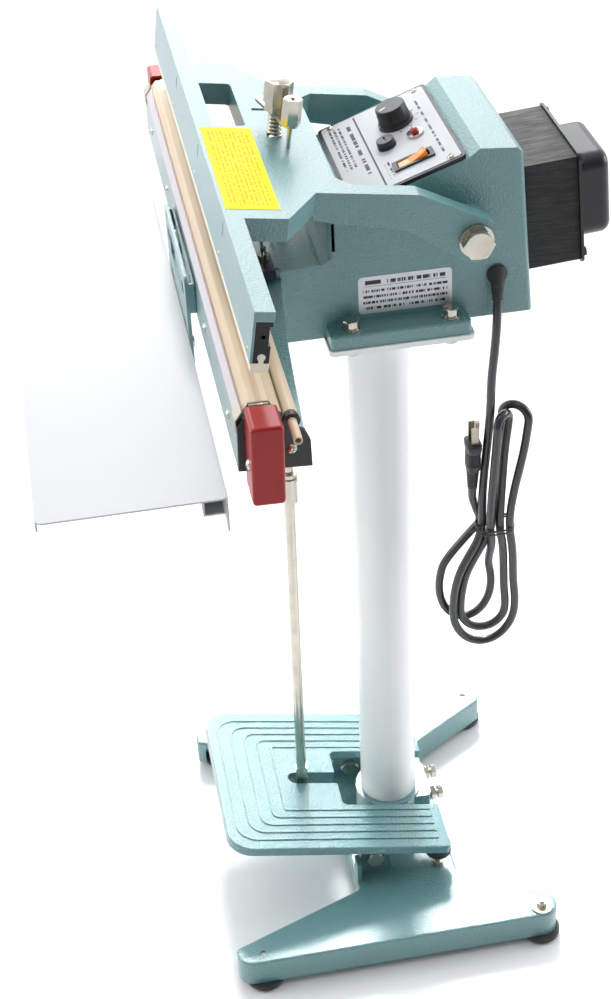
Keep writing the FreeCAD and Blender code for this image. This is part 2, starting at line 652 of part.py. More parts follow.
def controls():
    skirt = cyl(16.0, 3.0, KNOB.add(V(0, 0, 1.8)))
    grip = Part.makeCone(14.6, 13.4, 15.0, KNOB.add(V(0, 0, 4.8)))
    flutes = [cyl(1.0, 14, KNOB.add(V(14.9 * math.cos(t), 14.9 * math.sin(t), 5.6)))
              for t in [math.radians(12 * k) for k in range(30)]]
    knob = skirt.fuse(grip)
    knob = round_edges(knob, 1.2, lambda e: abs(e.CenterOfMass.z - 19.8) < 0.1 and e.Length > 20)
    knob = knob.cut(Part.makeCompound(flutes))
    knob = knob.fuse(cyl(3.0, 9, KNOB.add(V(0, 0, -7))))
    save("timer_knob", on_panel(knob.removeSplitter()))
    holder = ring(7.5, 4.0, 2.5, LAMP.add(V(0, 0, 1.4))).fuse(ring(5.0, 4.0, 16, LAMP.add(V(0, 0, -14))))
    save("lamp_holder", on_panel(holder.removeSplitter()))
    lens = cyl(4.0, 12, LAMP.add(V(0, 0, -7.4)))
    lens = lens.fuse(Part.makeSphere(4.0, LAMP.add(V(0, 0, 4.6)), V(0, 0, 1), 0, 90, 360))
    save("lamp_lens", on_panel(lens.removeSplitter()))
    tube = ring(8.5, 4.6, 2.0, FUSE.add(V(0, 0, 1.4))).fuse(ring(6.0, 4.6, 30, FUSE.add(V(0, 0, -28))))
    save("fuse_holder", on_panel(tube.removeSplitter()))
    cap = cyl(8.0, 5.0, FUSE.add(V(0, 0, 3.8)))
    cap = round_edges(cap, 0.8, lambda e: abs(e.CenterOfMass.z - 8.8) < 0.1)
    cap = cap.cut(box(FUSE.x - 4.5, FUSE.x + 4.5, FUSE.y - 0.7, FUSE.y + 0.7, 7.6, 10))
    cap = cap.fuse(cyl(4.55, 10, FUSE.add(V(0, 0, -6.0))))
    save("fuse_cap", on_panel(cap.removeSplitter()))


def turned_about_z(shape, at, degrees):
    done = shape.copy()
    done.rotate(at, V(0, 0, 1), degrees)
    return done


def power_switch():
    x, y = SWITCH.x, SWITCH.y
    frame = box(x - 8, x + 8, y - 18.5, y + 18.5, 1.4, 3.4)
    frame = round_edges(frame, 1.2, along(V(0, 0, 1)))
    frame = frame.fuse(box(x - 6.5, x + 6.5, y - 16, y + 16, -22, 1.4))
    frame = frame.cut(box(x - 5.2, x + 5.2, y - 14.6, y + 14.6, -13, 5))
    frame = frame.cut(cyl(1.25, 12.6, V(x - 6.3, y, ROCKER_H), V(1, 0, 0)))
    save("switch_frame", on_panel(frame.removeSplitter()))
    side = [(-13, 0.5), (-13, 4.5), (-4, 2.8), (4, 2.8), (13, 4.5), (13, 0.5), (5, -6), (-5, -6)]
    rocker = prism_x(side, -4.7, 4.7)
    rocker = rocker.fuse(cyl(1.2, 12.2, V(-6.1, 0, 0), V(1, 0, 0))).removeSplitter()
    rocker = turned(rocker, V(0, 0, 0), ROCKER_TIP)
    save("power_rocker", on_panel(moved(rocker, V(x, y, ROCKER_H))))


# ======================= lower jaw ======================================

def jaw_section(inset=0.0):
    return [(-16.0, -58.0), (-16.0, -13.0), (-9.5, -4.0), (8.5, -4.0), (12.5, -9.0), (15.0, LEDGE_Z),
            (30.5, LEDGE_Z), (36.0, -58.0)]


def jaw_wings():
    """Flat webs behind the jaw, which widen from its two ends to its root."""
    outline = WING_EDGE + [(70.0, 24.0), (317.0, 24.0)]
    wire = Part.makePolygon([V(x, y, LEDGE_Z - WING_T) for x, y in outline + outline[:1]])
    return both_sides(Part.Face(wire).extrude(V(0, 0, WING_T)))


def lower_jaw_casting():
    jaw = prism_x(jaw_section(), -LOWER_X + 4, LOWER_X - 4)
    hollow = prism_x([(-10.0, -60.0), (-10.0, -17.0), (6.0, -17.0), (8.0, -33.0), (25.0, -33.0), (29.0, -60.0)],
                     -LOWER_X + 14, LOWER_X - 14)
    jaw = jaw.cut(hollow)
    rib = prism_x([(-12, -56), (-12, -16), (7, -16), (9, -32), (26, -32), (31, -56)], -4, 4)
    for x in (-200, -95, 95, 200):
        jaw = jaw.fuse(moved(rib, V(x, 0, 0)))
    jaw = on_jaw(jaw.fuse(jaw_wings()))
    root = prism_x([(-128, NECK_BOTTOM), (-128, 770), (-118, 776), (-104, NECK_TOP), (NECK_FRONT, NECK_TOP),
                    (NECK_FRONT, NECK_BOTTOM)], -BODY_X, BODY_X)
    root = root.cut(box(-BODY_X + 10, BODY_X - 10, -118, NECK_FRONT - 7, NECK_BOTTOM - 1, 764))
    root = root.fuse(box(-16, 16, -119, NECK_FRONT, NECK_BOTTOM, 775))
    jaw = jaw.fuse(root).cut(rod_tunnel())
    jaw = jaw.cut(on_jaw(box(-40, 40, 30, 60, -26.5, 0)))
    for hole in jaw_screw_holes():
        jaw = jaw.cut(hole)
    pad = box(WING.x - 14, WING.x + 12, -122, -100, 768, WING.z)
    jaw = jaw.fuse(pad).cut(cyl(2.5, 10, V(WING.x, WING.y, WING.z - 9)))
    save("lower_jaw_casting", jaw.removeSplitter())


def jaw_screw_holes():
    """Holes for the screws of the front plate, the end plates and the table's bracket."""
    r, depth = SCREW_HOLE_R, 12
    holes = [on_jaw(cyl(r, depth, V(x, FACE_Y - 4, FACE_SCREW_Z), V(0, 1, 0))) for x in FACE_SCREW_X]
    for side in (-1, 1):
        holes.append(on_jaw(cyl(r, depth, V(side * (LOWER_X + 1), END_SCREW_Y, END_SCREW_Z), V(-side, 0, 0))))
    start = BRACKET_BACK - 3
    return holes + [cyl(r, depth, V(x, start, BRACKET_SCREW_Z), V(0, 1, 0)) for x in BRACKET_SCREW_X]


def jaw_front():
    face = on_jaw(box(-LOWER_X + 4, LOWER_X - 4, FACE_Y - FACE_T, FACE_Y, -57, -15))
    for hole in jaw_screw_holes():
        face = face.cut(hole)
    save("jaw_front_plate", face)
    strip = prism_x([(-18.6, -14.8), (-18.6, -11.9), (-14.4, -5.8), (-12.75, -7.0), (-16.62, -12.6),
                     (-16.62, -14.8)], -LOWER_X + 8, LOWER_X - 8)
    save("clamp_strip", on_jaw(strip))


def lower_screws():
    r, height = 4.2, 2.6
    front = V(0, -1, 0)
    face_y = FACE_Y - FACE_T
    screws = [on_jaw(button_screw(r, height, V(x, face_y, FACE_SCREW_Z), front)) for x in FACE_SCREW_X]
    for side in (-1, 1):
        end = V(side * LOWER_X, END_SCREW_Y, END_SCREW_Z)
        screws.append(on_jaw(button_screw(r, height, end, V(side, 0, 0), 10)))
        cap = V(side * CAP_SCREW_X, -CAP_Y, CAP_SCREW_Z)
        screws.append(on_jaw(button_screw(r, height, cap, front, CAP_WALL - 0.2)))
    for x in BRACKET_SCREW_X:
        screws.append(button_screw(r, height, V(x, BRACKET_BACK - 2, BRACKET_SCREW_Z), front, 8))
    save("lower_jaw_screws", *screws)


def sealing_strips():
    bed = box(-LOWER_X + 6, LOWER_X - 6, -8, 7, -4.0, -1.5)
    save("insulation_strip", on_jaw(bed))
    band = box(-LOWER_X + 5, LOWER_X - 5, -2.5, 2.5, -1.5, -1.1)
    save("heating_element", on_jaw(band))
    save("ptfe_cloth", on_jaw(cloth_section()))


def cloth_section():
    """Cloth from under the clamp strip, over the jaw's top and down to the roll."""
    under = [(-16.05, -14.8), (-16.05, -12.97), (-9.55, -3.95), (-8.1, -1.05), (7.1, -1.05), (8.6, -3.95),
             (12.6, -8.95), (16.6, -12.6)]
    before = [under[0]] + under[:-1]
    after = under[1:] + [under[-1]]
    over = []
    for (y, z), (y0, z0), (y1, z1) in zip(under, before, after):
        size = math.hypot(y1 - y0, z1 - z0)
        over.append((y - (z1 - z0) / size * CLOTH_T, z + (y1 - y0) / size * CLOTH_T))
    return prism_x(under + list(reversed(over)), -LOWER_X + 8, LOWER_X - 8)


def cloth_clips():
    """Thin spring clips that hold the cloth's two ends on the front edge."""
    clip = prism_x([(-19.6, -22), (-18.65, -22), (-18.65, -11.9), (-13.6, -4.6), (-14.4, -4.1), (-19.6, -11.6)],
                   LOWER_X - 16, LOWER_X - 2)
    save("cloth_clips", *[on_jaw(c) for c in both_sides(clip.removeSplitter())])


def end_plates():
    outline = [(-18, -55), (-18, -16), (-13.5, -9), (14, -9), (18, -20.5), (26.5, -22), (33, -25), (37, -34),
               (38, -57)]
    x0 = LOWER_X - END_T
    plate = prism_x(outline, x0, LOWER_X)
    plate = plate.fuse(cyl(6.5, END_T, V(x0, ROLL_Y, ROLL_Z), V(1, 0, 0)))
    plate = plate.cut(cyl(3.55, 20, V(x0 - 8, ROLL_Y, ROLL_Z), V(1, 0, 0)))
    plate = plate.cut(cyl(SCREW_HOLE_R, 20, V(x0 - 8, END_SCREW_Y, END_SCREW_Z), V(1, 0, 0)))
    save("end_plates", *[on_jaw(p) for p in both_sides(plate.removeSplitter())])


def end_caps():
    cap = box(LOWER_X, CAP_OUT, -CAP_Y, CAP_Y, -67, 1.0)
    cap = round_edges(cap, 3.5, along(V(1, 0, 0)))
    cap = round_edges(cap, 2.5, lambda e: abs(e.CenterOfMass.x - CAP_OUT) < 0.1)
    cap = cap.cut(box(LOWER_X - 1, CAP_OUT - CAP_WALL, -CAP_Y + CAP_WALL, CAP_Y - CAP_WALL, -64, -2.0))
    cap = cap.cut(cyl(SCREW_HOLE_R, 6, V(CAP_SCREW_X, -CAP_Y - 1.5, CAP_SCREW_Z), V(0, 1, 0)))
    save("end_caps", *[on_jaw(c) for c in both_sides(cap)])


def ptfe_roll():
    tube = ring(3.5, 2.4, 2 * (LOWER_X + 27), V(-LOWER_X - 27, ROLL_Y, ROLL_Z), V(1, 0, 0))
    roll = ring(5.6, 3.0, 2 * (LOWER_X - 8), V(-LOWER_X + 8, ROLL_Y, ROLL_Z), V(1, 0, 0))
    save("ptfe_roll", on_jaw(tube.fuse(roll).removeSplitter()))


def wing_nut():
    """A bent strip on the jaw's root, clamped by a wing nut."""
    strip = prism_y([(-14, 0), (18.5, 0), (23, -5), (24.5, -3.8), (19.2, 2), (-14, 2)], WING.y - 10, WING.y + 7)
    strip = moved(strip, V(WING.x, 0, WING.z))
    save("wing_nut_clip", strip.fuse(cyl(2.5, 24, V(WING.x, WING.y, WING.z - 9))).removeSplitter())
    nut = ring(5.0, 2.55, 6.0, V(WING.x, WING.y, WING.z + 2.4))
    wing = prism_y([(3.6, 3.4), (6, 3.4), (12.5, 14), (11, 16), (8, 14.5), (3.6, 8.4)], -1.2, 1.2)
    wing = moved(wing, WING)
    save("wing_nut", nut.fuse([wing, turned_about_z(wing, WING, 180)]).removeSplitter())


# ======================= table ==========================================

def work_table():
    inner = TABLE_X - 7
    low = TABLE_Z - TABLE_FLANGE
    top = box(-TABLE_X, TABLE_X, TABLE_FRONT, TABLE_REAR, TABLE_Z - TABLE_T, TABLE_Z)
    top = round_edges(top, 7, along(V(0, 0, 1)))
    rear = box(-inner, inner, TABLE_REAR - TABLE_T, TABLE_REAR, low, TABLE_Z - 0.5)
    front = box(-inner, inner, TABLE_FRONT, TABLE_FRONT + TABLE_T, TABLE_Z - 12, TABLE_Z - 0.5)
    rib_x, rib_y = TABLE_X - 30, TABLE_REAR - 18
    rib = box(-rib_x, rib_x, rib_y, rib_y + TABLE_T, low, TABLE_Z - 1)
    foot = box(-rib_x, rib_x, rib_y, TABLE_REAR, low, low + TABLE_T)
    table = top.fuse([rear, front, rib, foot])
    for x in TABLE_SCREW_X:
        table = table.cut(cyl(3.05, 10, V(x, TABLE_REAR - 5, TABLE_SCREW_Z), V(0, 1, 0)))
    save("work_table", table.removeSplitter())


def table_bracket():
    """Channel on the jaw's front, with an upright slot at each end for the table's screws."""
    front = TABLE_REAR + 0.4
    plate = round_edges(box(-BRACKET_X, BRACKET_X, front, front + BRACKET_T, 690, 786), 6, along(V(0, 1, 0)))
    for x in TABLE_SCREW_X:
        slot = box(-3.4, 3.4, 0, 5, -12, 26)
        plate = plate.cut(moved(slot, V(x, TABLE_REAR, TABLE_SCREW_Z)))
    plate = plate.cut(box(-40, 40, TABLE_REAR, TABLE_REAR + 5, 752, 774))
    for web in both_sides(box(BRACKET_X - BRACKET_T, BRACKET_X, front + 2.6, BRACKET_BACK, 752, 780)):
        plate = plate.fuse(web)
    back = box(-BRACKET_X, BRACKET_X, BRACKET_BACK - 2.0, BRACKET_BACK, 752, 780)
    plate = plate.fuse(back.cut(box(-30, 30, BRACKET_BACK - 3, BRACKET_BACK + 1, 756, 776)))
    for hole in jaw_screw_holes():
        plate = plate.cut(hole)
    for x in BRACKET_SCREW_X:
        plate = plate.cut(cyl(7, 5, V(x, TABLE_REAR, BRACKET_SCREW_Z), V(0, 1, 0)))
    save("table_bracket", plate.removeSplitter())


def table_screws():
    screws = []
    for x in TABLE_SCREW_X:
        head = V(x, TABLE_REAR - TABLE_T, TABLE_SCREW_Z)
        nut = V(x, TABLE_REAR + 0.9 + BRACKET_T, TABLE_SCREW_Z)
        screw = button_screw(6.0, 3.6, head, V(0, -1, 0), 6.2)
        screws.append(screw.fuse(hexagon(10, 3.0, nut, V(0, 1, 0))).removeSplitter())
    save("table_screws", *screws)


# ======================= arm and upper jaw ==============================

def arm_outline(i):
    """The arm's front plate in the level frame, each side moved in by i."""
    right = [(ARM_X - i, JAW_Y + JAW_W / 2 + i), (ARM_X - i, -172 - i * 0.4),
             (RAIL_X - i, RAIL_FRONT - i * 0.4), (RAIL_X - i, -120)]
    return right + [(-x, y) for x, y in reversed(right)]


def arm_casting():
    tray = prism_z(arm_outline(0), TRAY_BOTTOM, ARM_TOP)
    tray = tray.cut(prism_z(arm_outline(7), 10, ARM_TOP - 6))
    arm = tray
    rail = prism_x([(RAIL_FRONT, 15), (RAIL_FRONT, ARM_TOP), (-55, ARM_TOP), (9.0, 17.9), (0, 0), (-9.5, -17.6),
                    (-62, 8.5)], RAIL_IN, RAIL_X)
    rail = rail.fuse(cyl(ARM_EYE_R, RAIL_X - RAIL_IN, V(RAIL_IN, 0, 0), V(1, 0, 0)))
    rail = rail.cut(cyl(ARM_PIN_R + 0.05, 60, V(RAIL_IN - 20, 0, 0), V(1, 0, 0)))
    corner = prism_z([(RAIL_IN, -120), (RAIL_IN - 12, -120), (RAIL_IN, -108)], TRAY_BOTTOM, ARM_TOP)
    for side in both_sides(rail) + both_sides(corner):
        arm = arm.fuse(side)
    window = round_edges(box(-114, -18, -215, -179, 0, 60), 4, along(V(0, 0, 1)))
    frame = box(-120, -12, JAW_Y + JAW_W / 2, -173, TRAY_BOTTOM, ARM_TOP)
    arm = arm.fuse(frame).cut(window)
    arm = arm.cut(box(-58.5, -53.5, -168, -140, 0, 60))
    arm = arm.cut(cyl(6.5, 60, V(0, ROD_TOP_Y, 10)))
    arm = arm.cut(cyl(2.0, 60, V(ADJUSTER_X, ADJUSTER_Y, 10)))
    for pad in both_sides(box(114, 138, -207, -199, TRAY_BOTTOM, 36)):
        arm = arm.fuse(pad)
    save("arm_casting", on_arm(arm.removeSplitter()))


def upper_jaw():
    y0, y1 = JAW_Y - JAW_W / 2, JAW_Y + JAW_W / 2
    bar = prism_x([(y0, BAR_BOTTOM), (y0, ARM_TOP), (y1, ARM_TOP), (y1, 31.9), (y0 + 2, 31.9), (y0 + 2, BAR_BOTTOM)],
                  -JAW_X, JAW_X)
    for x in (-144, 8, 160):
        bar = bar.cut(box(x - 1.3, x + 1.3, y0 - 1, y0 + 0.8, 22, 34))
    for x in JAW_SCREW_X:
        bar = bar.cut(cyl(1.6, 6, V(x, y0 - 2, 4), V(0, 1, 0)))
    save("upper_jaw_bar", on_arm(bar))
    core = prism_x([(y0 + 2, BAR_BOTTOM), (y0 + 2, 31.9), (y1 - 1, 31.9), (y1 - 1, 28), (y1 - 3, 28), (y1 - 3, 12),
                    (y1 - 1.2, 12), (y1 - 1.2, BAR_BOTTOM)], -JAW_X, JAW_X)
    core = core.cut(cyl(3.2, 2 * JAW_X, V(-JAW_X, JAW_Y + 0.6, 2.6), V(1, 0, 0)))
    core = core.cut(box(-JAW_X, JAW_X, JAW_Y - 1.4, JAW_Y + 2.6, -3, 1.5))
    core = core.cut(cyl(1.7, 2 * JAW_X, V(-JAW_X, JAW_Y + 0.6, 19.5), V(1, 0, 0)))
    for x in JAW_SCREW_X:
        core = core.cut(cyl(1.6, 6, V(x, y0 - 2, 4), V(0, 1, 0)))
    save("jaw_extrusion", on_arm(core.removeSplitter()))
    strip = prism_x([(y0 + 0.8, JAW_BOTTOM + 0.8), (y0 + 0.2, BAR_BOTTOM), (y1 - 0.6, BAR_BOTTOM),
                     (y1 - 1.2, JAW_BOTTOM + 0.8), (y1 - 2.4, JAW_BOTTOM), (y0 + 2.0, JAW_BOTTOM)], -JAW_X, JAW_X)
    bulb = cyl(3.1, 2 * JAW_X, V(-JAW_X, JAW_Y + 0.6, 2.6), V(1, 0, 0))
    strip = strip.fuse([bulb, box(-JAW_X, JAW_X, JAW_Y - 1.3, JAW_Y + 2.5, -3, 1.5)])
    save("silicone_strip", on_arm(strip.removeSplitter()))
    screws = [on_arm(button_screw(2.6, 1.1, V(x, y0, 4), V(0, -1, 0), shank=4)) for x in JAW_SCREW_X]
    save("upper_jaw_screws", *screws)


def caution_label():
    label = box(-13, 148, -220, -176, ARM_TOP, ARM_TOP + 0.3)
    save("caution_label", on_arm(label))


def arm_bolts():
    bolts = []
    for side in (-1, 1):
        axis = V(side, 0, 0)
        start = V(side * (BODY_X - WALL - 8), ARM_PIVOT.y, ARM_PIVOT.z)
        shank = cyl(8.0, RAIL_X - BODY_X + WALL + 11, start, axis)
        washer = cyl(15, 2.0, V(side * (RAIL_X + 0.4), ARM_PIVOT.y, ARM_PIVOT.z), axis)
        head = hexagon(24, 9.5, V(side * (RAIL_X + 2.4), ARM_PIVOT.y, ARM_PIVOT.z), axis)
        nut = hexagon(24, 8, start, axis)
        bolts.append(shank.fuse([washer, head, nut]).removeSplitter())
    save("arm_bolts", *bolts)


def coil_spring():
    """Helical spring between the arm and the keeper."""
    low = SPRING_WIRE_R + 0.05
    helix = Part.makeHelix(3.4, SPRING_TOP - ARM_TOP - 2 * low, SPRING_MEAN_R)
    helix.translate(V(0, 0, low))
    profile = Part.Wire(Part.makeCircle(SPRING_WIRE_R, V(SPRING_MEAN_R, 0, low), V(0, 1, 0)))
    return Part.Wire(helix).makePipeShell([profile], True, True)


def adjuster():
    """Sealing-pressure spring, keeper and nuts on top of the arm."""
    centre = V(0, ROD_TOP_Y, 0)
    save("pressure_spring", on_arm(moved(coil_spring(), centre.add(V(0, 0, ARM_TOP)))))
    half = math.hypot(ADJUSTER_X, ADJUSTER_Y - ROD_TOP_Y)
    keeper = box(-half, half, -6.5, 6.5, 0, KEEPER_T)
    keeper = keeper.fuse([cyl(6.5, KEEPER_T, V(x, 0, 0)) for x in (-half, half)])
    keeper = turned_about_z(keeper, V(0, 0, 0), math.degrees(math.atan2(ADJUSTER_Y - ROD_TOP_Y, ADJUSTER_X)))
    keeper = moved(keeper, centre.add(V(0, 0, SPRING_TOP)))
    keeper = keeper.cut(cyl(2.0, 20, V(ADJUSTER_X, ADJUSTER_Y, SPRING_TOP - 5)))
    stud = cyl(SPRING_BORE_R, SPRING_TOP - ARM_TOP + 4, centre.add(V(0, 0, ARM_TOP + 0.8)))
    save("keeper_strip", on_arm(keeper.cut(stud).removeSplitter()))
    nut_z = SPRING_TOP + KEEPER_T
    low = hexagon(19, 8, centre.add(V(0, 0, nut_z)))
    nut = hexagon(22, 19, centre.add(V(0, 0, nut_z + 8)))
    dome = Part.makeSphere(15.0, centre.add(V(0, 0, nut_z + 16)))
    dome = dome.common(cyl(10.2, 20, centre.add(V(0, 0, nut_z + 23.5))))
    save("spring_nuts", on_arm(low.fuse([nut, dome, stud]).removeSplitter()))
    foot = V(ADJUSTER_X, ADJUSTER_Y, nut_z)
    screw = cyl(2.0, SPRING_TOP - 26 + 26, V(ADJUSTER_X, ADJUSTER_Y, 26))
    save("adjuster_screw", on_arm(screw.fuse([hexagon(15, 22, foot), cyl(6.0, 2.2, foot)]).removeSplitter()))


# ======================= cord ===========================================

def tube_on_route(points, r):
    """Straight runs joined by tangent arcs, each as large as its two runs allow."""
    edges = []
    last = points[0]
    for before, corner, after in zip(points, points[1:], points[2:]):
        u = before.sub(corner)
        w = after.sub(corner)
        short = min(u.Length, w.Length)
        half_turn = (math.pi - u.getAngle(w)) / 2
        reach = 0.45 * short
        print("cord arc radius", round(reach / math.tan(half_turn), 1))
        u.normalize()
        w.normalize()
        start = corner.add(V(u).multiply(reach))
        end = corner.add(V(w).multiply(reach))
        toward = V(u).add(w).normalize()
        middle_reach = reach / math.tan(half_turn) * (1 / math.cos(half_turn) - 1)
        middle = corner.add(toward.multiply(middle_reach))
        edges += [Part.makeLine(last, start), Part.Arc(start, middle, end).toShape()]
        last = end
    edges.append(Part.makeLine(last, points[-1]))
    wire = Part.Wire(edges)
    first = points[1].sub(points[0]).normalize()
    profile = Part.Wire(Part.makeCircle(r, points[0], first))
    tube = wire.makePipeShell([profile], True, True)
    ratio = tube.Volume / (math.pi * r * r * wire.Length)
    print("cord tube length", round(wire.Length), "and its volume against section times length", round(ratio, 4))
    return tube


def cord():
    save("power_cord", tube_on_route(CORD_ROUTE, CORD_R))
    plug_side, relief_y = 74.5, 60.5
    outline = [(69, 504), (relief_y, 528), (relief_y, RELIEF_BOTTOM), (plug_side, RELIEF_BOTTOM),
               (plug_side, HANK_TOP), (91, HANK_TOP), (96, 633), (110, 633), (117, 606), (119, 548), (106, 508),
               (105, 494), (116, 455), (118, 420), (106, 380), (86, 357), (66, 354), (44, 370), (30, 402),
               (27, 437), (40, 466), (69, 494)]
    hank = prism_x(outline, HANK_X - HANK_HALF, HANK_X + HANK_HALF)
    hank = round_edges(hank, 4, lambda e: abs(abs(e.CenterOfMass.x - HANK_X) - HANK_HALF) < 0.1)
    save("cord_hank", hank)
    tie = box(HANK_X - 15, HANK_X + 15, 67, 108.5, TIE_Z - 3, TIE_Z + 3).cut(hank)
    knot = box(HANK_X + 3, HANK_X + 9, 61, 67, TIE_Z - 2, TIE_Z + 2)
    save("cord_tie", tie.fuse(knot).removeSplitter())


def plug():
    body = box(HANK_X - 11, HANK_X + 11, PLUG_Y - 7, PLUG_Y + 7, PLUG_BOTTOM, PLUG_TOP)
    body = round_edges(body, 4, along(V(0, 0, 1)))
    relief = Part.makeCone(4.6, 6.0, PLUG_BOTTOM - RELIEF_BOTTOM, V(HANK_X, PLUG_Y, RELIEF_BOTTOM))
    save("plug_body", body.fuse(relief).removeSplitter())
    blade = box(-0.8, 0.8, PLUG_Y - 3, PLUG_Y + 3.5, PLUG_TOP, PLUG_TOP + 18)
    prongs = [moved(blade, V(HANK_X + dx, 0, 0)) for dx in (-6.3, 6.3)]
    save("plug_prongs", *prongs, cyl(2.4, 20, V(HANK_X, PLUG_Y + 3.4, PLUG_TOP)))


def grommet():
    """Rubber bushing in the rear cover, with the tapered relief that turns the cord down."""
    across = V(1, 0, 0)
    nose = cyl(GROMMET_R, 6, GROMMET.sub(V(6, 0, 0)), across)
    bead = cyl(10, 3, GROMMET, across).fuse(Part.makeCone(10, 6, 5, GROMMET.add(V(3, 0, 0)), across))
    down = CORD_ROUTE[1].sub(CORD_ROUTE[0]).normalize()
    length = 14.0
    relief = Part.makeCone(6.2, CORD_R + 0.8, length, CORD_ROUTE[0].sub(down * length), down)
    save("cord_grommet", nose.fuse([bead, relief]).removeSplitter())


def main():
    os.makedirs("parts", exist_ok=True)
    for make in (base_casting, rubber_feet, base_studs, column, pedal_casting, pedal_bolts, pedal_bumpers,
                 pull_rod, body_casting, flange_bolts, rear_cover, transformer, rating_plate, panel,
                 controls, power_switch, lower_jaw_casting, jaw_front, lower_screws, sealing_strips,
                 cloth_clips, end_plates, end_caps, ptfe_roll, wing_nut, work_table, table_bracket,
                 table_screws, arm_casting, upper_jaw, caution_label, arm_bolts, adjuster, cord, plug,
                 grommet):
        make()


main()
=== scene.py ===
"""Studio scene of a foot-operated impulse heat sealer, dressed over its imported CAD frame."""

import json
import math

import bmesh
import bpy
from mathutils import Matrix, Vector


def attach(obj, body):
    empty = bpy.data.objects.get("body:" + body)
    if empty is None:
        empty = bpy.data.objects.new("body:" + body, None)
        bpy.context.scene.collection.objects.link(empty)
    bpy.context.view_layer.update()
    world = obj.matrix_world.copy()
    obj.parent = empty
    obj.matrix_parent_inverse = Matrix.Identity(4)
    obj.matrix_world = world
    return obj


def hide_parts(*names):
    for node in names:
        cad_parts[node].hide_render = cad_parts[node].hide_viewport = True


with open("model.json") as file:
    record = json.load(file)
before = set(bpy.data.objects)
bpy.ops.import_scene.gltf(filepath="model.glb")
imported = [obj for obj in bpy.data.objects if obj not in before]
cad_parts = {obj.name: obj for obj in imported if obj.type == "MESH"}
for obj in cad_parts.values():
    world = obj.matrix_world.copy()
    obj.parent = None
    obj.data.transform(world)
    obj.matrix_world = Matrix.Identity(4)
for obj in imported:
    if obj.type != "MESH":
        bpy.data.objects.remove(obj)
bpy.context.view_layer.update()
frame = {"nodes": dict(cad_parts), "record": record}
nodes = frame["nodes"]

MM = 0.001

# camera, in millimetres and degrees
EYE = (1424.89, -287.89, 1512.89)
YAW, PITCH, ROLL = -8.44, -35.46, -2.97
LENS, SENSOR = 64.87, 36.0

# studio floor, in metres: half of its side, and its drop under the feet, which keeps the faces apart
FLOOR_HALF, FLOOR_DROP = 9.0, 0.0002

# mains lead: diameter in millimetres, length in metres, and its run down to the hank in millimetres
CORD_D, CORD_LENGTH = 8.0, 1.675
CORD_RUN = [(92, 88, 737), (96, 87, 722), (98.5, 85, 694), (98.5, 82, 660), (98.5, 82, 627)]

# x and y of the plug's axis, and the height where its strain relief starts
PLUG_AT, PLUG_Z = (98.5, 66), 546

# the tie's height, and x and y of the six strands where the tie holds them
TIE_Z = 499.0
STRANDS = {
    "down": (98.0, 76.3),
    "front": (106.8, 81.5),
    "middle": (106.5, 90.8),
    "right": (106.5, 100.2),
    "hidden": (97.8, 86.0),
    "plug": (89.2, 77.5),
}

# frames of the sloping parts: pivot in millimetres and slope in degrees
ARM_PIVOT, ARM_SLOPE = (0, 62, 810), -8.5
PANEL_ORIGIN, PANEL_SLOPE = (0, -36.5, 835.5), 19.4
TRANSFORMER_PIVOT, TRANSFORMER_SLOPE = (0, 118, 793), 4.5

# timer knob: centre on the panel, its pointer's turn from straight up the slope, and its top's height
KNOB_AT, KNOB_TURN, KNOB_TOP = (-28, 66.5), math.radians(197.5), 19.8

# power switch: centre on the panel, its rocker's pivot height and rest tilt in degrees, and the distance of
# its marks from the rocker's middle
SWITCH_AT, ROCKER_H, ROCKER_TIP, MARK_S = (50, 64.5), 1.0, 12.0, 8.8

# lower jaw: centre of the sealing face and lean in degrees
SEAL, JAW_LEAN = (0, -153.75, 806.3), 1.5
# cloth: half its length, its thickness, and its line over the jaw as (y, z) from the sealing face's centre
CLOTH_HALF, CLOTH_T = 313.0, 0.2
CLOTH_LINE = [(-16.3, -14.8), (-16.3, -12.85), (-9.8, -3.75), (-8.3, -0.8), (7.3, -0.8), (8.85, -3.8),
              (12.8, -8.8), (16.75, -12.4)]


# ---- camera, floor and light --------------------------------------------


def make_camera():
    """The photograph's camera, turned about its own axis by ROLL."""
    yaw, pitch, roll = (math.radians(a) for a in (YAW, PITCH, ROLL))
    ahead = Vector((-math.cos(yaw) * math.cos(pitch), -math.sin(yaw) * math.cos(pitch), math.sin(pitch)))
    level = Vector((-math.sin(yaw), math.cos(yaw), 0))
    up = level.cross(ahead)
    right = math.cos(roll) * level + math.sin(roll) * up
    top = math.cos(roll) * up - math.sin(roll) * level
    data = bpy.data.cameras.new("camera")
    data.lens = LENS
    data.sensor_width = SENSOR
    data.clip_end = 50
    cam = bpy.data.objects.new("camera", data)
    turn = Matrix((right, top, -ahead)).transposed().to_4x4()
    cam.matrix_world = Matrix.Translation(Vector(EYE) * MM) @ turn
    bpy.context.scene.collection.objects.link(cam)
    bpy.context.scene.camera = cam


def area_light(name, place, target, size, power, spread=180):
    """A round softbox: places and size in metres, power in watts, spread in degrees."""
    data = bpy.data.lights.new(name, "AREA")
    data.shape = "DISK"
    data.size = size
    data.energy = power
    data.spread = math.radians(spread)
    lamp = bpy.data.objects.new(name, data)
    lamp.location = place
    aim = Vector(target) - Vector(place)
    lamp.rotation_euler = aim.to_track_quat("-Z", "Y").to_euler()
    bpy.context.scene.collection.objects.link(lamp)


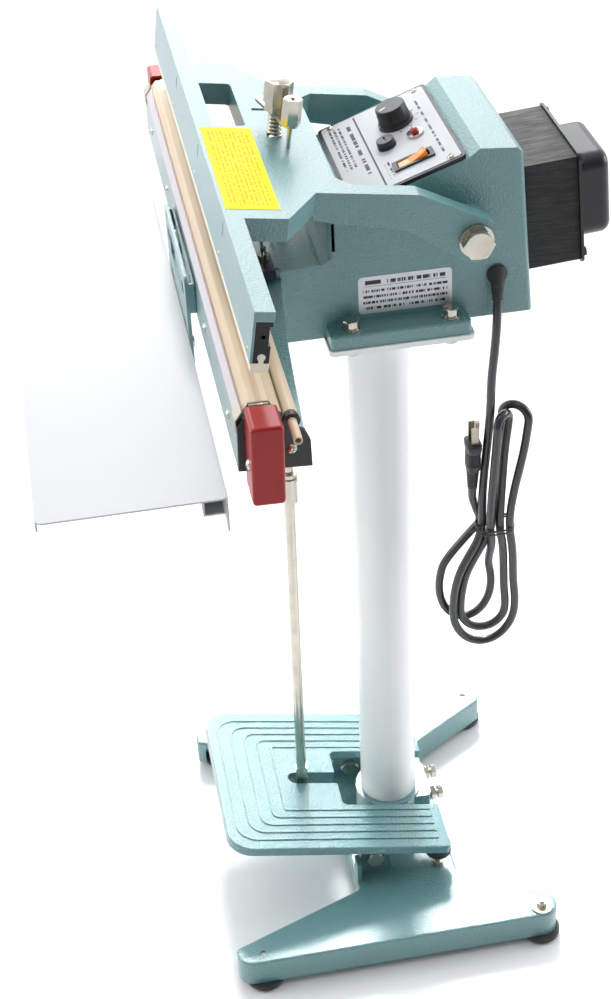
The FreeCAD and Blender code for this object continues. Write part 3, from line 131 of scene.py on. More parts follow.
def make_world():
    """A pale surrounding that is bright behind the part and dim behind the camera."""
    world = bpy.data.worlds.new("studio")
    world.use_nodes = True
    tree = world.node_tree
    sky = tree.nodes["Background"]
    sky.inputs["Color"].default_value = (0.96, 0.98, 1.0, 1)
    place = tree.nodes.new("ShaderNodeTexCoord")
    parts = tree.nodes.new("ShaderNodeSeparateXYZ")
    fade = tree.nodes.new("ShaderNodeMapRange")
    for key, number in (("From Min", -0.7), ("From Max", 0.8), ("To Min", 1.65), ("To Max", 0.24)):
        fade.inputs[key].default_value = number
    tree.links.new(place.outputs["Generated"], parts.inputs["Vector"])
    tree.links.new(parts.outputs["X"], fade.inputs["Value"])
    tree.links.new(fade.outputs["Result"], sky.inputs["Strength"])
    bpy.context.scene.world = world


def make_lights():
    area_light("key", place=(-3.3, 0.3, 3.6), target=(0, 0, 0.5), size=3.4, power=68)
    area_light("over", place=(0.6, -0.6, 3.4), target=(0, 0, 0.4), size=1.6, power=10)
    area_light("front", place=(-0.4, -2.4, 1.5), target=(0, 0, 0.6), size=1.3, power=17)
    area_light("side", place=(-0.1, 2.6, 1.4), target=(0, 0, 0.6), size=1.1, power=26)
    area_light("foot", place=(-2.2, 0.2, 2.5), target=(0.05, -0.05, -0.15), size=0.9, power=3.2, spread=22)


def make_floor():
    mesh = bpy.data.meshes.new("floor")
    bm = bmesh.new()
    bmesh.ops.create_grid(bm, x_segments=8, y_segments=8, size=FLOOR_HALF)
    bm.to_mesh(mesh)
    bm.free()
    floor = bpy.data.objects.new("floor", mesh)
    floor.location = (0, 0, -FLOOR_DROP)
    bpy.context.scene.collection.objects.link(floor)
    finish = Finish("studio_floor", colour=(0.84, 0.84, 0.84), roughness=0.75)
    finish.mottle(scale=6.0, amount=0.006)
    finish.apply(floor)


def make_studio():
    make_world()
    make_lights()
    make_floor()
    bpy.context.scene.view_settings.view_transform = "Standard"


# ---- material building --------------------------------------------------


class Finish:
    """A Principled surface whose colour, roughness and relief are added in steps."""

    # what a mottled patch does to colour and roughness, for each unit of its amount
    DARKER, LIGHTER, ROUGHER = 2.2, 1.6, 0.3

    def __init__(self, name, colour, roughness, **shader):
        self.mat = bpy.data.materials.new(name)
        self.mat.use_nodes = True
        self.tree = self.mat.node_tree
        self.bsdf = self.tree.nodes["Principled BSDF"]
        self.bsdf.inputs["Base Color"].default_value = (*colour, 1)
        self.bsdf.inputs["Roughness"].default_value = roughness
        for key, value in shader.items():
            socket = key.replace("_", " ").title().replace("Ior", "IOR")
            self.bsdf.inputs[socket].default_value = value
        self.mat.diffuse_color = (*colour, 1)
        self.colour = None
        self.rough = None
        self.normal = None

    def node(self, kind, **settings):
        made = self.tree.nodes.new("ShaderNode" + kind)
        for key, value in settings.items():
            setattr(made, key, value)
        return made

    def link(self, source, target):
        self.tree.links.new(source, target)

    def coords(self, pivot=(0, 0, 0), slope=0.0):
        """Object coordinates in metres, turned level about X where the part slopes."""
        texture = self.node("TexCoord")
        if not slope:
            return texture.outputs["Object"]
        turn = self.node("VectorRotate", rotation_type="X_AXIS")
        self.link(texture.outputs["Object"], turn.inputs["Vector"])
        turn.inputs["Center"].default_value = [v * MM for v in pivot]
        turn.inputs["Angle"].default_value = -math.radians(slope)
        return turn.outputs["Vector"]

    def scaled(self, stretch):
        """Object coordinates with each axis stretched, for grain along one way."""
        mapping = self.node("Mapping")
        self.link(self.coords(), mapping.inputs["Vector"])
        mapping.inputs["Scale"].default_value = stretch
        return mapping.outputs["Vector"]

    def noise(self, scale, detail=3.0, stretch=(1, 1, 1)):
        """A noise from 0 to 1, with the scale in cells per metre."""
        made = self.node("TexNoise")
        self.link(self.scaled(stretch), made.inputs["Vector"])
        made.inputs["Scale"].default_value = scale
        made.inputs["Detail"].default_value = detail
        return made.outputs["Fac"]

    def math(self, operation, *values):
        made = self.node("Math", operation=operation)
        for slot, value in zip(made.inputs, values):
            if isinstance(value, (int, float)):
                slot.default_value = value
            else:
                self.link(value, slot)
        return made.outputs[0]

    def remap(self, value, low, high, out_low=0.0, out_high=1.0):
        """A smooth step from out_low to out_high while the value goes from low to high."""
        made = self.node("MapRange", interpolation_type="SMOOTHSTEP")
        self.link(value, made.inputs["Value"])
        ends = (("From Min", low), ("From Max", high), ("To Min", out_low), ("To Max", out_high))
        for key, number in ends:
            made.inputs[key].default_value = number
        return made.outputs["Result"]

    def base(self):
        """The colour so far, as a socket or as a plain colour."""
        return self.colour or tuple(self.bsdf.inputs["Base Color"].default_value)

    def mix(self, mask, colour):
        """Lays a colour over what is there, where the mask is 1."""
        made = self.node("Mix", data_type="RGBA")
        below = self.base()
        if isinstance(below, tuple):
            made.inputs[6].default_value = below
        else:
            self.link(below, made.inputs[6])
        made.inputs[7].default_value = (*colour, 1)
        self.link(mask, made.inputs[0])
        self.colour = made.outputs[2]

    def mottle(self, scale, amount, stretch=(1, 1, 1)):
        """Soft light and dark patches in the colour and the roughness."""
        noise = self.noise(scale, 4.0, stretch)
        tone = self.bsdf.inputs["Base Color"].default_value
        dark = [c * (1 - self.DARKER * amount) for c in tone[:3]]
        light = [min(1.0, c * (1 + self.LIGHTER * amount)) for c in tone[:3]]
        self.mix(self.remap(noise, low=0.5, high=0.28), dark)
        self.mix(self.remap(noise, low=0.5, high=0.74), light)
        self.rough_from(noise, swing=self.ROUGHER * amount + 0.03)

    def rough_from(self, value, swing):
        """Lets the roughness follow a noise, as far as the swing to either side."""
        rough = self.bsdf.inputs["Roughness"].default_value
        self.rough = self.remap(value, 0.25, 0.75, max(0.02, rough - swing), min(1.0, rough + swing))

    def bump(self, height, strength, distance):
        """Relief over what is there, with the distance in metres."""
        made = self.node("Bump")
        made.inputs["Strength"].default_value = strength
        made.inputs["Distance"].default_value = distance
        self.link(height, made.inputs["Height"])
        if self.normal is not None:
            self.link(self.normal, made.inputs["Normal"])
        self.normal = made.outputs["Normal"]

    def soften(self, radius):
        """Rounds sharp corners in the shading."""
        made = self.node("Bevel", samples=3)
        made.inputs["Radius"].default_value = radius
        self.normal = made.outputs["Normal"]

    def edges(self, radius, colour, strength):
        """Rubbed or thin paint along the outer corners."""
        bevel = self.node("Bevel", samples=3)
        bevel.inputs["Radius"].default_value = radius
        geometry = self.node("NewGeometry")
        dot = self.node("VectorMath", operation="DOT_PRODUCT")
        self.link(bevel.outputs["Normal"], dot.inputs[0])
        self.link(geometry.outputs["Normal"], dot.inputs[1])
        broken = self.remap(self.noise(160, 4.0), low=0.35, high=0.6)
        corner = self.remap(dot.outputs["Value"], low=0.985, high=0.86, out_high=strength)
        self.mix(self.math("MULTIPLY", corner, broken), colour)

    def window(self, along, across, u0, u1, v0, v1):
        """1 inside a rectangle of the two coordinates, in metres."""
        half_u, half_v = (u1 - u0) / 2, (v1 - v0) / 2
        u = self.math("ABSOLUTE", self.math("SUBTRACT", along, u0 + half_u))
        v = self.math("ABSOLUTE", self.math("SUBTRACT", across, v0 + half_v))
        return self.math("MULTIPLY", self.math("LESS_THAN", u, half_u), self.math("LESS_THAN", v, half_v))

    def writing(self, along, across, area, pitch, fill, word, seed):
        """Rows of meaningless dashes that stand for print, inside an area in metres.

        pitch is from row to row, fill is the inked share of it, word is the dashes' scale, and seed
        picks the noise.
        """
        row_shift, gap = 7.31, 0.455
        rows = self.math("DIVIDE", across, pitch)
        row = self.math("FLOOR", rows)
        line = self.math("LESS_THAN", self.math("FRACT", rows), fill)
        spot = self.node("CombineXYZ")
        self.link(self.math("MULTIPLY", along, word), spot.inputs[0])
        self.link(self.math("MULTIPLY_ADD", row, row_shift, seed), spot.inputs[1])
        noise = self.node("TexNoise", noise_dimensions="2D")
        self.link(spot.outputs["Vector"], noise.inputs["Vector"])
        noise.inputs["Scale"].default_value = 1.0
        noise.inputs["Detail"].default_value = 2.0
        words = self.math("GREATER_THAN", noise.outputs["Fac"], gap)
        inside = self.window(along, across, *area)
        return self.math("MULTIPLY", self.math("MULTIPLY", line, words), inside)

    def apply(self, obj):
        """Wires up what was added, and dresses an object in the material alone."""
        for value, name in ((self.colour, "Base Color"), (self.rough, "Roughness"), (self.normal, "Normal")):
            if value is not None:
                self.link(value, self.bsdf.inputs[name])
        obj.data.materials.clear()
        obj.data.materials.append(self.mat)


def split(finish, vector):
    """The X, Y and Z sockets of a vector."""
    parts = finish.node("SeparateXYZ")
    finish.link(vector, parts.inputs["Vector"])
    return parts.outputs


# ---- materials, one per slot --------------------------------------------


def hammered_paint():
    """Light blue-green enamel with a fine hammered skin over rough iron."""
    f = Finish("blue_paint", colour=(0.118, 0.266, 0.278), roughness=0.36,
               coat_weight=1.0, coat_roughness=0.3)
    f.mottle(scale=9.0, amount=0.05)
    f.edges(radius=0.0016, colour=(0.26, 0.45, 0.465), strength=0.7)
    f.soften(radius=0.0014)
    cells = f.node("TexVoronoi", feature="SMOOTH_F1")
    f.link(f.coords(), cells.inputs["Vector"])
    cells.inputs["Scale"].default_value = 430
    cells.inputs["Smoothness"].default_value = 0.8
    f.bump(cells.outputs["Distance"], strength=0.75, distance=0.0011)
    f.bump(f.noise(330, 3.0), strength=0.4, distance=0.0012)
    return f


def column_enamel():
    """White baked enamel on the steel tube."""
    f = Finish("white_paint", colour=(0.86, 0.875, 0.865), roughness=0.36,
               coat_weight=0.4, coat_roughness=0.12)
    f.mottle(scale=14.0, amount=0.004)
    f.edges(radius=0.0009, colour=(0.62, 0.63, 0.62), strength=0.5)
    f.soften(radius=0.0005)
    f.bump(f.noise(420, 2.0), strength=0.06, distance=0.0004)
    return f


def table_enamel():
    """White powder coat on folded sheet."""
    f = Finish("table_white", colour=(0.52, 0.525, 0.535), roughness=0.42,
               coat_weight=0.15, coat_roughness=0.3)
    f.mottle(scale=5.0, amount=0.01)
    f.edges(radius=0.0008, colour=(0.70, 0.71, 0.72), strength=0.5)
    f.bump(f.noise(900, 2.0), strength=0.05, distance=0.0003)
    f.bump(f.noise(7, 2.0), strength=0.05, distance=0.004)
    return f


def plated(name, colour, roughness, grain):
    """Plated or polished metal with rubbed edges, faint turning marks along the grain, and stains."""
    f = Finish(name, colour, roughness, metallic=1.0)
    f.mottle(scale=60.0, amount=0.07)
    rubbed = [min(1.0, c * 1.2) for c in colour]
    f.edges(radius=0.0005, colour=rubbed, strength=0.6)
    f.soften(radius=0.0003)
    f.bump(f.noise(240, 3.0, grain), strength=0.05, distance=0.0002)
    stains = f.noise(35, 5.0)
    f.rough_from(stains, swing=0.08)
    return f


def rubber():
    """Matt moulded rubber with dust in its pores."""
    f = Finish("black_rubber", colour=(0.028, 0.027, 0.027), roughness=0.62)
    f.mottle(scale=120.0, amount=0.12)
    dust = f.remap(f.noise(40, 5.0), low=0.56, high=0.8, out_high=0.35)
    f.mix(dust, (0.12, 0.115, 0.11))
    f.bump(f.noise(1500, 2.0), strength=0.2, distance=0.0002)
    return f


def moulded_plastic():
    """Black moulded plastic with a fine spark-eroded grain."""
    f = Finish("black_plastic", colour=(0.017, 0.017, 0.019), roughness=0.36)
    f.mottle(scale=90.0, amount=0.1)
    f.edges(radius=0.0005, colour=(0.07, 0.07, 0.075), strength=0.5)
    f.soften(radius=0.0004)
    f.bump(f.noise(2600, 2.0), strength=0.16, distance=0.00012)
    return f


def gloss_enamel():
    """Glossy black baked enamel over pressed sheet."""
    f = Finish("black_enamel", colour=(0.008, 0.008, 0.010), roughness=0.34,
               coat_weight=0.12, coat_roughness=0.2)
    f.mottle(scale=25.0, amount=0.1)
    f.edges(radius=0.0006, colour=(0.06, 0.06, 0.065), strength=0.5)
    f.soften(radius=0.0006)
    f.bump(f.noise(380, 2.0), strength=0.08, distance=0.0004)
    return f


def laminations():
    """Stacked transformer sheets, varnished black, seen on edge."""
    f = Finish("black_iron", colour=(0.014, 0.014, 0.016), roughness=0.5, metallic=0.2)
    sheet = 0.0011
    y = split(f, f.coords(TRANSFORMER_PIVOT, TRANSFORMER_SLOPE))["Y"]
    sheets = f.math("FRACT", f.math("DIVIDE", y, sheet))
    groove = f.remap(f.math("ABSOLUTE", f.math("SUBTRACT", sheets, 0.5)), low=0.3, high=0.48)
    dust = f.remap(f.noise(900, 3.0, (1, 0.05, 1)), low=0.45, high=0.7, out_high=0.5)
    f.mix(dust, (0.07, 0.068, 0.066))
    f.mix(groove, (0.004, 0.004, 0.004))
    f.rough_from(f.noise(300, 3.0, (1, 0.1, 1)), swing=0.14)
    f.bump(f.math("SUBTRACT", 1.0, groove), strength=0.5, distance=0.0004)
    f.bump(f.noise(500, 3.0), strength=0.15, distance=0.0003)
    return f


def aluminium():
    """Satin anodised clamp strip, drawn along its length."""
    f = Finish("clamp_aluminium", colour=(0.56, 0.52, 0.56), roughness=0.38, metallic=0.85)
    f.mottle(scale=18.0, amount=0.06, stretch=(0.15, 1, 1))
    f.bump(f.noise(1400, 2.0, (0.02, 1, 1)), strength=0.16, distance=0.0001)
    return f


def black_extrusion():
    """Black anodised section of the upper jaw, drawn along its length."""
    f = Finish("black_aluminium", colour=(0.02, 0.02, 0.022), roughness=0.35, metallic=0.5)
    f.mottle(scale=30.0, amount=0.08, stretch=(0.1, 1, 1))
    f.edges(radius=0.0005, colour=(0.09, 0.09, 0.095), strength=0.5)
    f.bump(f.noise(1200, 2.0, (0.02, 1, 1)), strength=0.18, distance=0.0001)
    return f


def glass_cloth():
    """Tan PTFE-coated glass cloth: plain weave, darker where it has been heated."""
    f = Finish("ptfe", colour=(0.63, 0.495, 0.345), roughness=0.34, sheen_weight=0.1)
    f.mottle(scale=22.0, amount=0.07, stretch=(0.25, 1, 1))
    thread, element_y = 0.0009, -0.1537
    x, y, z = split(f, f.coords())
    warp = f.math("SINE", f.math("MULTIPLY", x, 2 * math.pi / thread))
    weft = f.math("SINE", f.math("MULTIPLY", f.math("ADD", y, z), 2 * math.pi / thread))
    weave = f.math("MULTIPLY", warp, weft)
    f.mix(f.remap(weave, low=-0.2, high=0.9, out_high=0.28), (0.73, 0.61, 0.46))
    beside = f.math("ABSOLUTE", f.math("SUBTRACT", y, element_y))
    f.mix(f.remap(beside, low=0.0028, high=0.0018, out_high=0.5), (0.42, 0.27, 0.165))
    f.bump(weave, strength=0.18, distance=0.00012)
    f.bump(f.noise(60, 3.0, (0.3, 1, 1)), strength=0.1, distance=0.0006)
    return f


def red_caps():
    """Glossy red moulded end caps."""
    f = Finish("red_plastic", colour=(0.34, 0.007, 0.005), roughness=0.34,
               specular_ior_level=0.3, coat_weight=0.3, coat_roughness=0.14)
    f.mottle(scale=30.0, amount=0.05)
    f.edges(radius=0.0008, colour=(0.62, 0.07, 0.06), strength=0.6)
    f.soften(radius=0.0008)
    f.bump(f.noise(260, 2.0), strength=0.05, distance=0.0004)
    return f


def plain(name, colour, roughness, scale, amount, grit, depth, **shader):
    """A small part's finish: patchy tone, rounded corners and fine grit.

    scale and amount are the patches', grit and depth are the relief's.
    """
    f = Finish(name, colour, roughness, **shader)
    f.mottle(scale, amount)
    f.soften(radius=0.0003)
    f.bump(f.noise(grit, 3.0), strength=0.15, distance=depth)
    return f


def cord_jacket():
    """Glossy black PVC sheath with dust on it."""
    f = Finish("cord_pvc", colour=(0.011, 0.012, 0.014), roughness=0.36,
               coat_weight=0.7, coat_roughness=0.12)
    f.mottle(scale=70.0, amount=0.12)
    dust = f.remap(f.noise(230, 5.0), low=0.6, high=0.8, out_high=0.3)
    f.mix(dust, (0.08, 0.08, 0.08))
    f.bump(f.noise(700, 3.0), strength=0.1, distance=0.0002)
    return f


def dial_ticks(f, x, s):
    """1 on the short ticks round the timer knob, open at the bottom, for a fascia's x and s in metres.

    half_width is a share of the step from tick to tick, and last is the angle from the top, in radians,
    where the ticks end.
    """
    radius, half_length, half_width, last = 0.0198, 0.0013, 0.06, 2.5
    tick_step = math.radians(30)
    centre = (KNOB_AT[0] * MM, KNOB_AT[1] * MM, 0)
    away = f.node("VectorMath", operation="DISTANCE")
    flat = f.node("CombineXYZ")
    f.link(x, flat.inputs[0])
    f.link(s, flat.inputs[1])
    f.link(flat.outputs["Vector"], away.inputs[0])
    away.inputs[1].default_value = centre
    off_ring = f.math("ABSOLUTE", f.math("SUBTRACT", away.outputs["Value"], radius))
    angle = f.math("ARCTAN2", f.math("SUBTRACT", x, centre[0]), f.math("SUBTRACT", s, centre[1]))
    share = f.math("FRACT", f.math("ADD", f.math("DIVIDE", angle, tick_step), 0.5))
    mark = f.math("LESS_THAN", f.math("ABSOLUTE", f.math("SUBTRACT", share, 0.5)), half_width)
    front = f.math("LESS_THAN", f.math("ABSOLUTE", angle), last)
    on_ring = f.math("LESS_THAN", off_ring, half_length)
    return f.math("MULTIPLY", f.math("MULTIPLY", on_ring, mark), front)


def panel_print():
    """Pale printed fascia: a divider, rows of dashes and a dial ring."""
    f = Finish("panel_print", colour=(0.50, 0.515, 0.54), roughness=0.5, specular_ior_level=0.35)
    f.mottle(scale=40.0, amount=0.015)
    x, y, _ = split(f, f.coords(PANEL_ORIGIN, PANEL_SLOPE))
    s = f.math("SUBTRACT", y, PANEL_ORIGIN[1] * MM)
    ink = (0.03, 0.03, 0.035)
    f.mix(f.window(x, s, -0.072, 0.072, 0.0335, 0.0352), ink)
    # area, row pitch, fill, dash scale and seed
    rows = (
        ((-0.066, 0.02, 0.0075, 0.0205), 0.0043, 0.5, 420.0, 3.1),
        ((-0.06, 0.04, 0.0235, 0.0305), 0.0062, 0.55, 260.0, 9.4),
        ((-0.052, 0.058, 0.0885, 0.0935), 0.0047, 0.45, 420.0, 5.7),
        ((0.034, 0.066, 0.0405, 0.045), 0.0043, 0.5, 380.0, 2.2),
    )
    for area, pitch, fill, word, seed in rows:
        f.mix(f.writing(x, s, area, pitch, fill, word, seed), ink)
    f.mix(dial_ticks(f, x, s), ink)
    f.bump(f.noise(800, 2.0), strength=0.06, distance=0.0002)
    return f


def caution_sticker():
    """Yellow label with rows of faint orange dashes."""
    f = Finish("label_yellow", colour=(0.88, 0.72, 0.0), roughness=0.6, specular_ior_level=0.25)
    f.mottle(scale=35.0, amount=0.02)
    x, y, _ = split(f, f.coords(ARM_PIVOT, ARM_SLOPE))
    across = f.math("MULTIPLY", y, -1.0)
    area = (-0.005, 0.141, 0.1185, 0.1535)
    dashes = f.writing(x, across, area, pitch=0.0036, fill=0.42, word=330.0, seed=4.4)
    f.mix(dashes, (0.78, 0.36, 0.0))
    f.bump(f.noise(300, 3.0), strength=0.08, distance=0.0003)
    return f


def rating_print():
    """Silver rating plate with a rule, a dark block and rows of dark dashes."""
    f = Finish("label_plate", colour=(0.64, 0.65, 0.68), roughness=0.35, metallic=0.55)
    f.mottle(scale=50.0, amount=0.03)
    _, y, z = split(f, f.coords())
    ink = (0.035, 0.035, 0.05)
    title, table = (-0.008, 0.044, 0.7605, 0.7655), (-0.029, 0.046, 0.7365, 0.7585)
    rule, block = (-0.028, 0.045, 0.7592, 0.7596), (-0.027, -0.013, 0.7612, 0.7652)
    f.mix(f.writing(y, z, title, pitch=0.0059, fill=0.62, word=620.0, seed=1.3), ink)
    f.mix(f.writing(y, z, table, pitch=0.0055, fill=0.46, word=760.0, seed=6.1), ink)
    f.mix(f.window(y, z, *rule), ink)
    f.mix(f.window(y, z, *block), ink)
    f.bump(f.noise(500, 2.0), strength=0.05, distance=0.0002)
    return f


def insulation():
    """Tan insulating strip under the element."""
    return plain("insulation", (0.55, 0.50, 0.42), roughness=0.7,
                 scale=60, amount=0.06, grit=700, depth=0.0003)


def element_foil():
    """Bare nichrome ribbon."""
    return plain("element", (0.45, 0.42, 0.38), roughness=0.3,
                 scale=50, amount=0.1, grit=900, depth=0.0001,
                 metallic=1.0)


def silicone():
    """Cream silicone pressing strip."""
    return plain("silicone", (0.84, 0.79, 0.66), roughness=0.5,
                 scale=40, amount=0.05, grit=600, depth=0.0003,
                 subsurface_weight=0.2)


def lamp_lens():
    """Clear red lens of the pilot lamp."""
    return plain("lamp_red", (0.42, 0.01, 0.01), roughness=0.1,
                 scale=300, amount=0.1, grit=500, depth=0.0002,
                 coat_weight=1.0)


def lit_rocker():
    """Orange rocker, faintly lit from inside."""
    return plain("orange_plastic", (0.90, 0.21, 0.012), roughness=0.22,
                 scale=60, amount=0.05, grit=900, depth=0.0001,
                 coat_weight=0.4, emission_color=(1.0, 0.28, 0.02, 1), emission_strength=0.28)


def all_finishes():
    """Every material, by the slot that the record gives its nodes."""
    return {
        "blue_paint": hammered_paint(),
        "white_paint": column_enamel(),
        "table_white": table_enamel(),
        "bright_steel": plated("bright_steel", (0.60, 0.565, 0.49), roughness=0.18, grain=(1, 1, 0.2)),
        "zinc_steel": plated("zinc_steel", (0.56, 0.53, 0.44), roughness=0.37, grain=(1, 1, 0.5)),
        "dark_steel": plated("dark_steel", (0.10, 0.11, 0.13), roughness=0.36, grain=(1, 1, 1)),
        "brass": plated("brass", (0.50, 0.46, 0.38), roughness=0.36, grain=(1, 1, 0.2)),
        "black_rubber": rubber(),
        "black_plastic": moulded_plastic(),
        "black_enamel": gloss_enamel(),
        "black_iron": laminations(),
        "black_aluminium": black_extrusion(),
        "clamp_aluminium": aluminium(),
        "ptfe": glass_cloth(),
        "red_plastic": red_caps(),
        "insulation": insulation(),
        "element": element_foil(),
        "silicone": silicone(),
        "lamp_red": lamp_lens(),
        "orange_plastic": lit_rocker(),
        "panel_print": panel_print(),
        "label_yellow": caution_sticker(),
        "label_plate": rating_print(),
        "cord_pvc": cord_jacket(),
    }


def dress_nodes(finishes):
    """Every CAD node in the material of its slot."""
    for part in frame["record"]["subparts"]:
        finishes[part["material_slot"]].apply(nodes[part["node"]])


# ---- shape building -----------------------------------------------------


def mesh_object(name, bm):
    """A smooth-shaded object in the scene from a finished bmesh."""
    mesh = bpy.data.meshes.new(name)
    bmesh.ops.recalc_face_normals(bm, faces=bm.faces)
    bm.to_mesh(mesh)
    bm.free()
    for face in mesh.polygons:
        face.use_smooth = True
    obj = bpy.data.objects.new(name, mesh)
    bpy.context.scene.collection.objects.link(obj)
    return obj


def bridge(bm, loops, closed=False):
    """Faces from each ring of vertices to the next, and from the last to the first when closed."""
    following = loops[1:] + loops[:1] if closed else loops[1:]
    for low, high in zip(loops, following):
        for i in range(len(low)):
            j = (i + 1) % len(low)
            bm.faces.new((low[i], low[j], high[j], high[i]))


def loft(rings):
    """Skins a list of closed rings of points, with both ends capped."""
    bm = bmesh.new()
    loops = [[bm.verts.new(Vector(p) * MM) for p in ring] for ring in rings]
    bridge(bm, loops)
    bm.faces.new(loops[0])
    bm.faces.new(loops[-1])
    return bm


def circle(centre, axis, radius, count=32):
    """A ring of points round an axis."""
    turn = Vector((0, 0, 1)).rotation_difference(Vector(axis))
    ring = []
    for i in range(count):
        a = 2 * math.pi * i / count
        ring.append(Vector(centre) + turn @ Vector((radius * math.cos(a), radius * math.sin(a), 0)))
    return ring


def squarish(centre, half_x, half_y, power, count=32):
    """A level ring between an ellipse, at power 2, and a rectangle."""
    ring = []
    for i in range(count):
        a = 2 * math.pi * i / count
        c, s = math.cos(a), math.sin(a)
        reach = (abs(c) ** power + abs(s) ** power) ** (-1 / power)
        ring.append((centre[0] + half_x * reach * c, centre[1] + half_y * reach * s, centre[2]))
    return ring


# ---- mains lead ---------------------------------------------------------


def bight(centre, radii, sweep, depths, count=14):
    """Points round one fold of the hank, in millimetres.

    centre is (y, z), radii are across, below and above it, sweep is the first and last angle
    from +Y, and depths are the first and last x.
    """
    points = []
    for i in range(count):
        t = i / (count - 1)
        angle = math.radians(sweep[0] + (sweep[1] - sweep[0]) * t)
        tall = radii[2] if math.sin(angle) > 0 else radii[1]
        x = depths[0] + (depths[1] - depths[0]) * t * t * (3 - 2 * t)
        points.append((x, centre[0] + radii[0] * math.cos(angle), centre[1] + tall * math.sin(angle)))
    return points


def cord_points():
    """The lead from the grommet, through the tied hank's three lower and two upper folds, to the plug."""
    tied = {name: (x, y, TIE_Z) for name, (x, y) in STRANDS.items()}
    points = list(CORD_RUN)
    points += [(98.5, 79.2, 590), (98.3, 76.3, 550), (98, 75.6, 520), tied["down"], (100, 72, 484)]
    points += bight((78, 404), (31, 42, 74), (122, 385), (102, 104.5))
    points += [(106, 104.6, 472), tied["right"], (106.5, 101, 521), (106, 105.2, 548), (105, 112.5, 582)]
    points += bight((106, 616), (10.2, 14, 13), (-12, 192), (105, 86.5), 12)
    points += [(88, 94, 580), (92, 89.5, 540), (96, 86.8, 515), tied["hidden"], (97, 80, 482)]
    points += bight((77.5, 402), (22, 24, 64), (123, 385), (98.4, 102.5))
    points += [(103.6, 95.8, 476), tied["middle"], (104.5, 91.7, 521), (101.5, 93.4, 545), (98, 96, 581)]
    points += bight((92.6, 615), (7.4, 14, 10.5), (-12, 192), (96, 112), 12)
    points += [(109.5, 83.2, 560), (108, 81.5, 522), tied["front"], (104.6, 84.6, 483)]
    points += bight((62, 426), (25.6, 39.5, 50), (32, -218), (93, 89.3))
    points += [(89.8, 66.5, 488), tied["plug"], (89.6, 72.5, 514), (93.5, 67.2, 530), (98.2, 66, 541)]
    points += [(*PLUG_AT, PLUG_Z)]
    return points


def make_cord():
    """One round tube along the whole lead."""
    points = cord_points()
    curve = bpy.data.curves.new("mains_lead", "CURVE")
    curve.dimensions = "3D"
    curve.bevel_depth = CORD_D / 2 * MM
    curve.bevel_resolution = 6
    curve.resolution_u = 10
    curve.use_fill_caps = True
    spline = curve.splines.new("NURBS")
    spline.points.add(len(points) - 1)
    for point, place in zip(spline.points, points):
        point.co = (*(v * MM for v in place), 1)
    spline.order_u = 3
    spline.use_endpoint_u = True
    lead = bpy.data.objects.new("mains_lead", curve)
    bpy.context.scene.collection.objects.link(lead)
    return lead


def make_relief():
    """Flanged rubber bush in the casting's side with a ribbed, tapering strain relief."""
    y, z = 90, 756.5
    bush = ((74.0, 7.0), (80.0, 7.0), (80.05, 8.6), (80.8, 9.2), (82.2, 9.2), (83.2, 8.6), (84.6, 7.0))
    rings = [circle((x, y, z), (1, 0, 0), radius) for x, radius in bush]
    mouth = Vector((88, 88.8, 749))
    rings.append(circle(mouth, (0.75, -0.1, -0.66), 5.9))
    run = Vector(CORD_RUN[0]) - mouth
    steps = 4 * 7
    for i in range(steps + 1):
        t = (i + 2) / (steps + 2)
        groove = 0.45 if i % 4 in (1, 2) and t < 0.93 else 0.0
        radius = 5.8 - 1.2 * t - groove
        rings.append(circle(mouth + run * t, run, radius))
    return mesh_object("strain_relief", loft(rings))


def tie_turn(bm, waist, base, phase):
    """One closed turn of flat ribbon round the waist, with a slight wave in its height."""
    count = len(waist)
    half_thick, half_tall, wave = 0.45, 1.25, 0.35
    rings = []
    for i, (x, y, _) in enumerate(waist):
        ahead, behind = waist[(i + 1) % count], waist[i - 1]
        nx, ny = ahead[0] - behind[0], ahead[1] - behind[1]
        size = math.hypot(nx, ny)
        out = (ny / size, -nx / size)
        lift = wave * math.sin(2 * math.pi * i / count + phase)
        section = []
        for k in range(8):
            b = 2 * math.pi * k / 8
            r, h = half_thick * math.cos(b), half_tall * math.sin(b)
            place = Vector((x + out[0] * r, y + out[1] * r, base + lift + h))
            section.append(bm.verts.new(place * MM))
        rings.append(section)
    bridge(bm, rings, closed=True)


def tie_tail(bm, side):
    """One of the two strands of the twisted tail, which starts at an angle round the twist's axis."""
    steps, twists, pitch_radius, wire = 39, 3, 0.8, 0.5
    x, y, z = 104.5, 69.5, TIE_Z
    reach, drop = 7.2, 1.5
    sections = []
    for i in range(steps + 1):
        t = i / steps
        a = side + t * 2 * math.pi * twists
        cx, cy, cz = x + pitch_radius * math.cos(a), y - reach * t, z + pitch_radius * math.sin(a) - drop * t
        sections.append([
            bm.verts.new(Vector((cx + wire * math.cos(b), cy, cz + wire * math.sin(b))) * MM)
            for b in (2 * math.pi * k / 8 for k in range(8))
        ])
    bridge(bm, sections)
    bm.faces.new(sections[0])
    bm.faces.new(sections[-1])


def make_tie():
    """Twisted wire tie: two turns of flat ribbon round the hank, with a twisted tail."""
    bm = bmesh.new()
    waist = squarish((98.3, 88.3, 0), 14.2, 17.8, 3.2, 72)
    for turn, base in enumerate((497.0, 500.2)):
        tie_turn(bm, waist, base, turn)
    for side in (0.0, math.pi):
        tie_tail(bm, side)
    return mesh_object("hank_tie", bm)


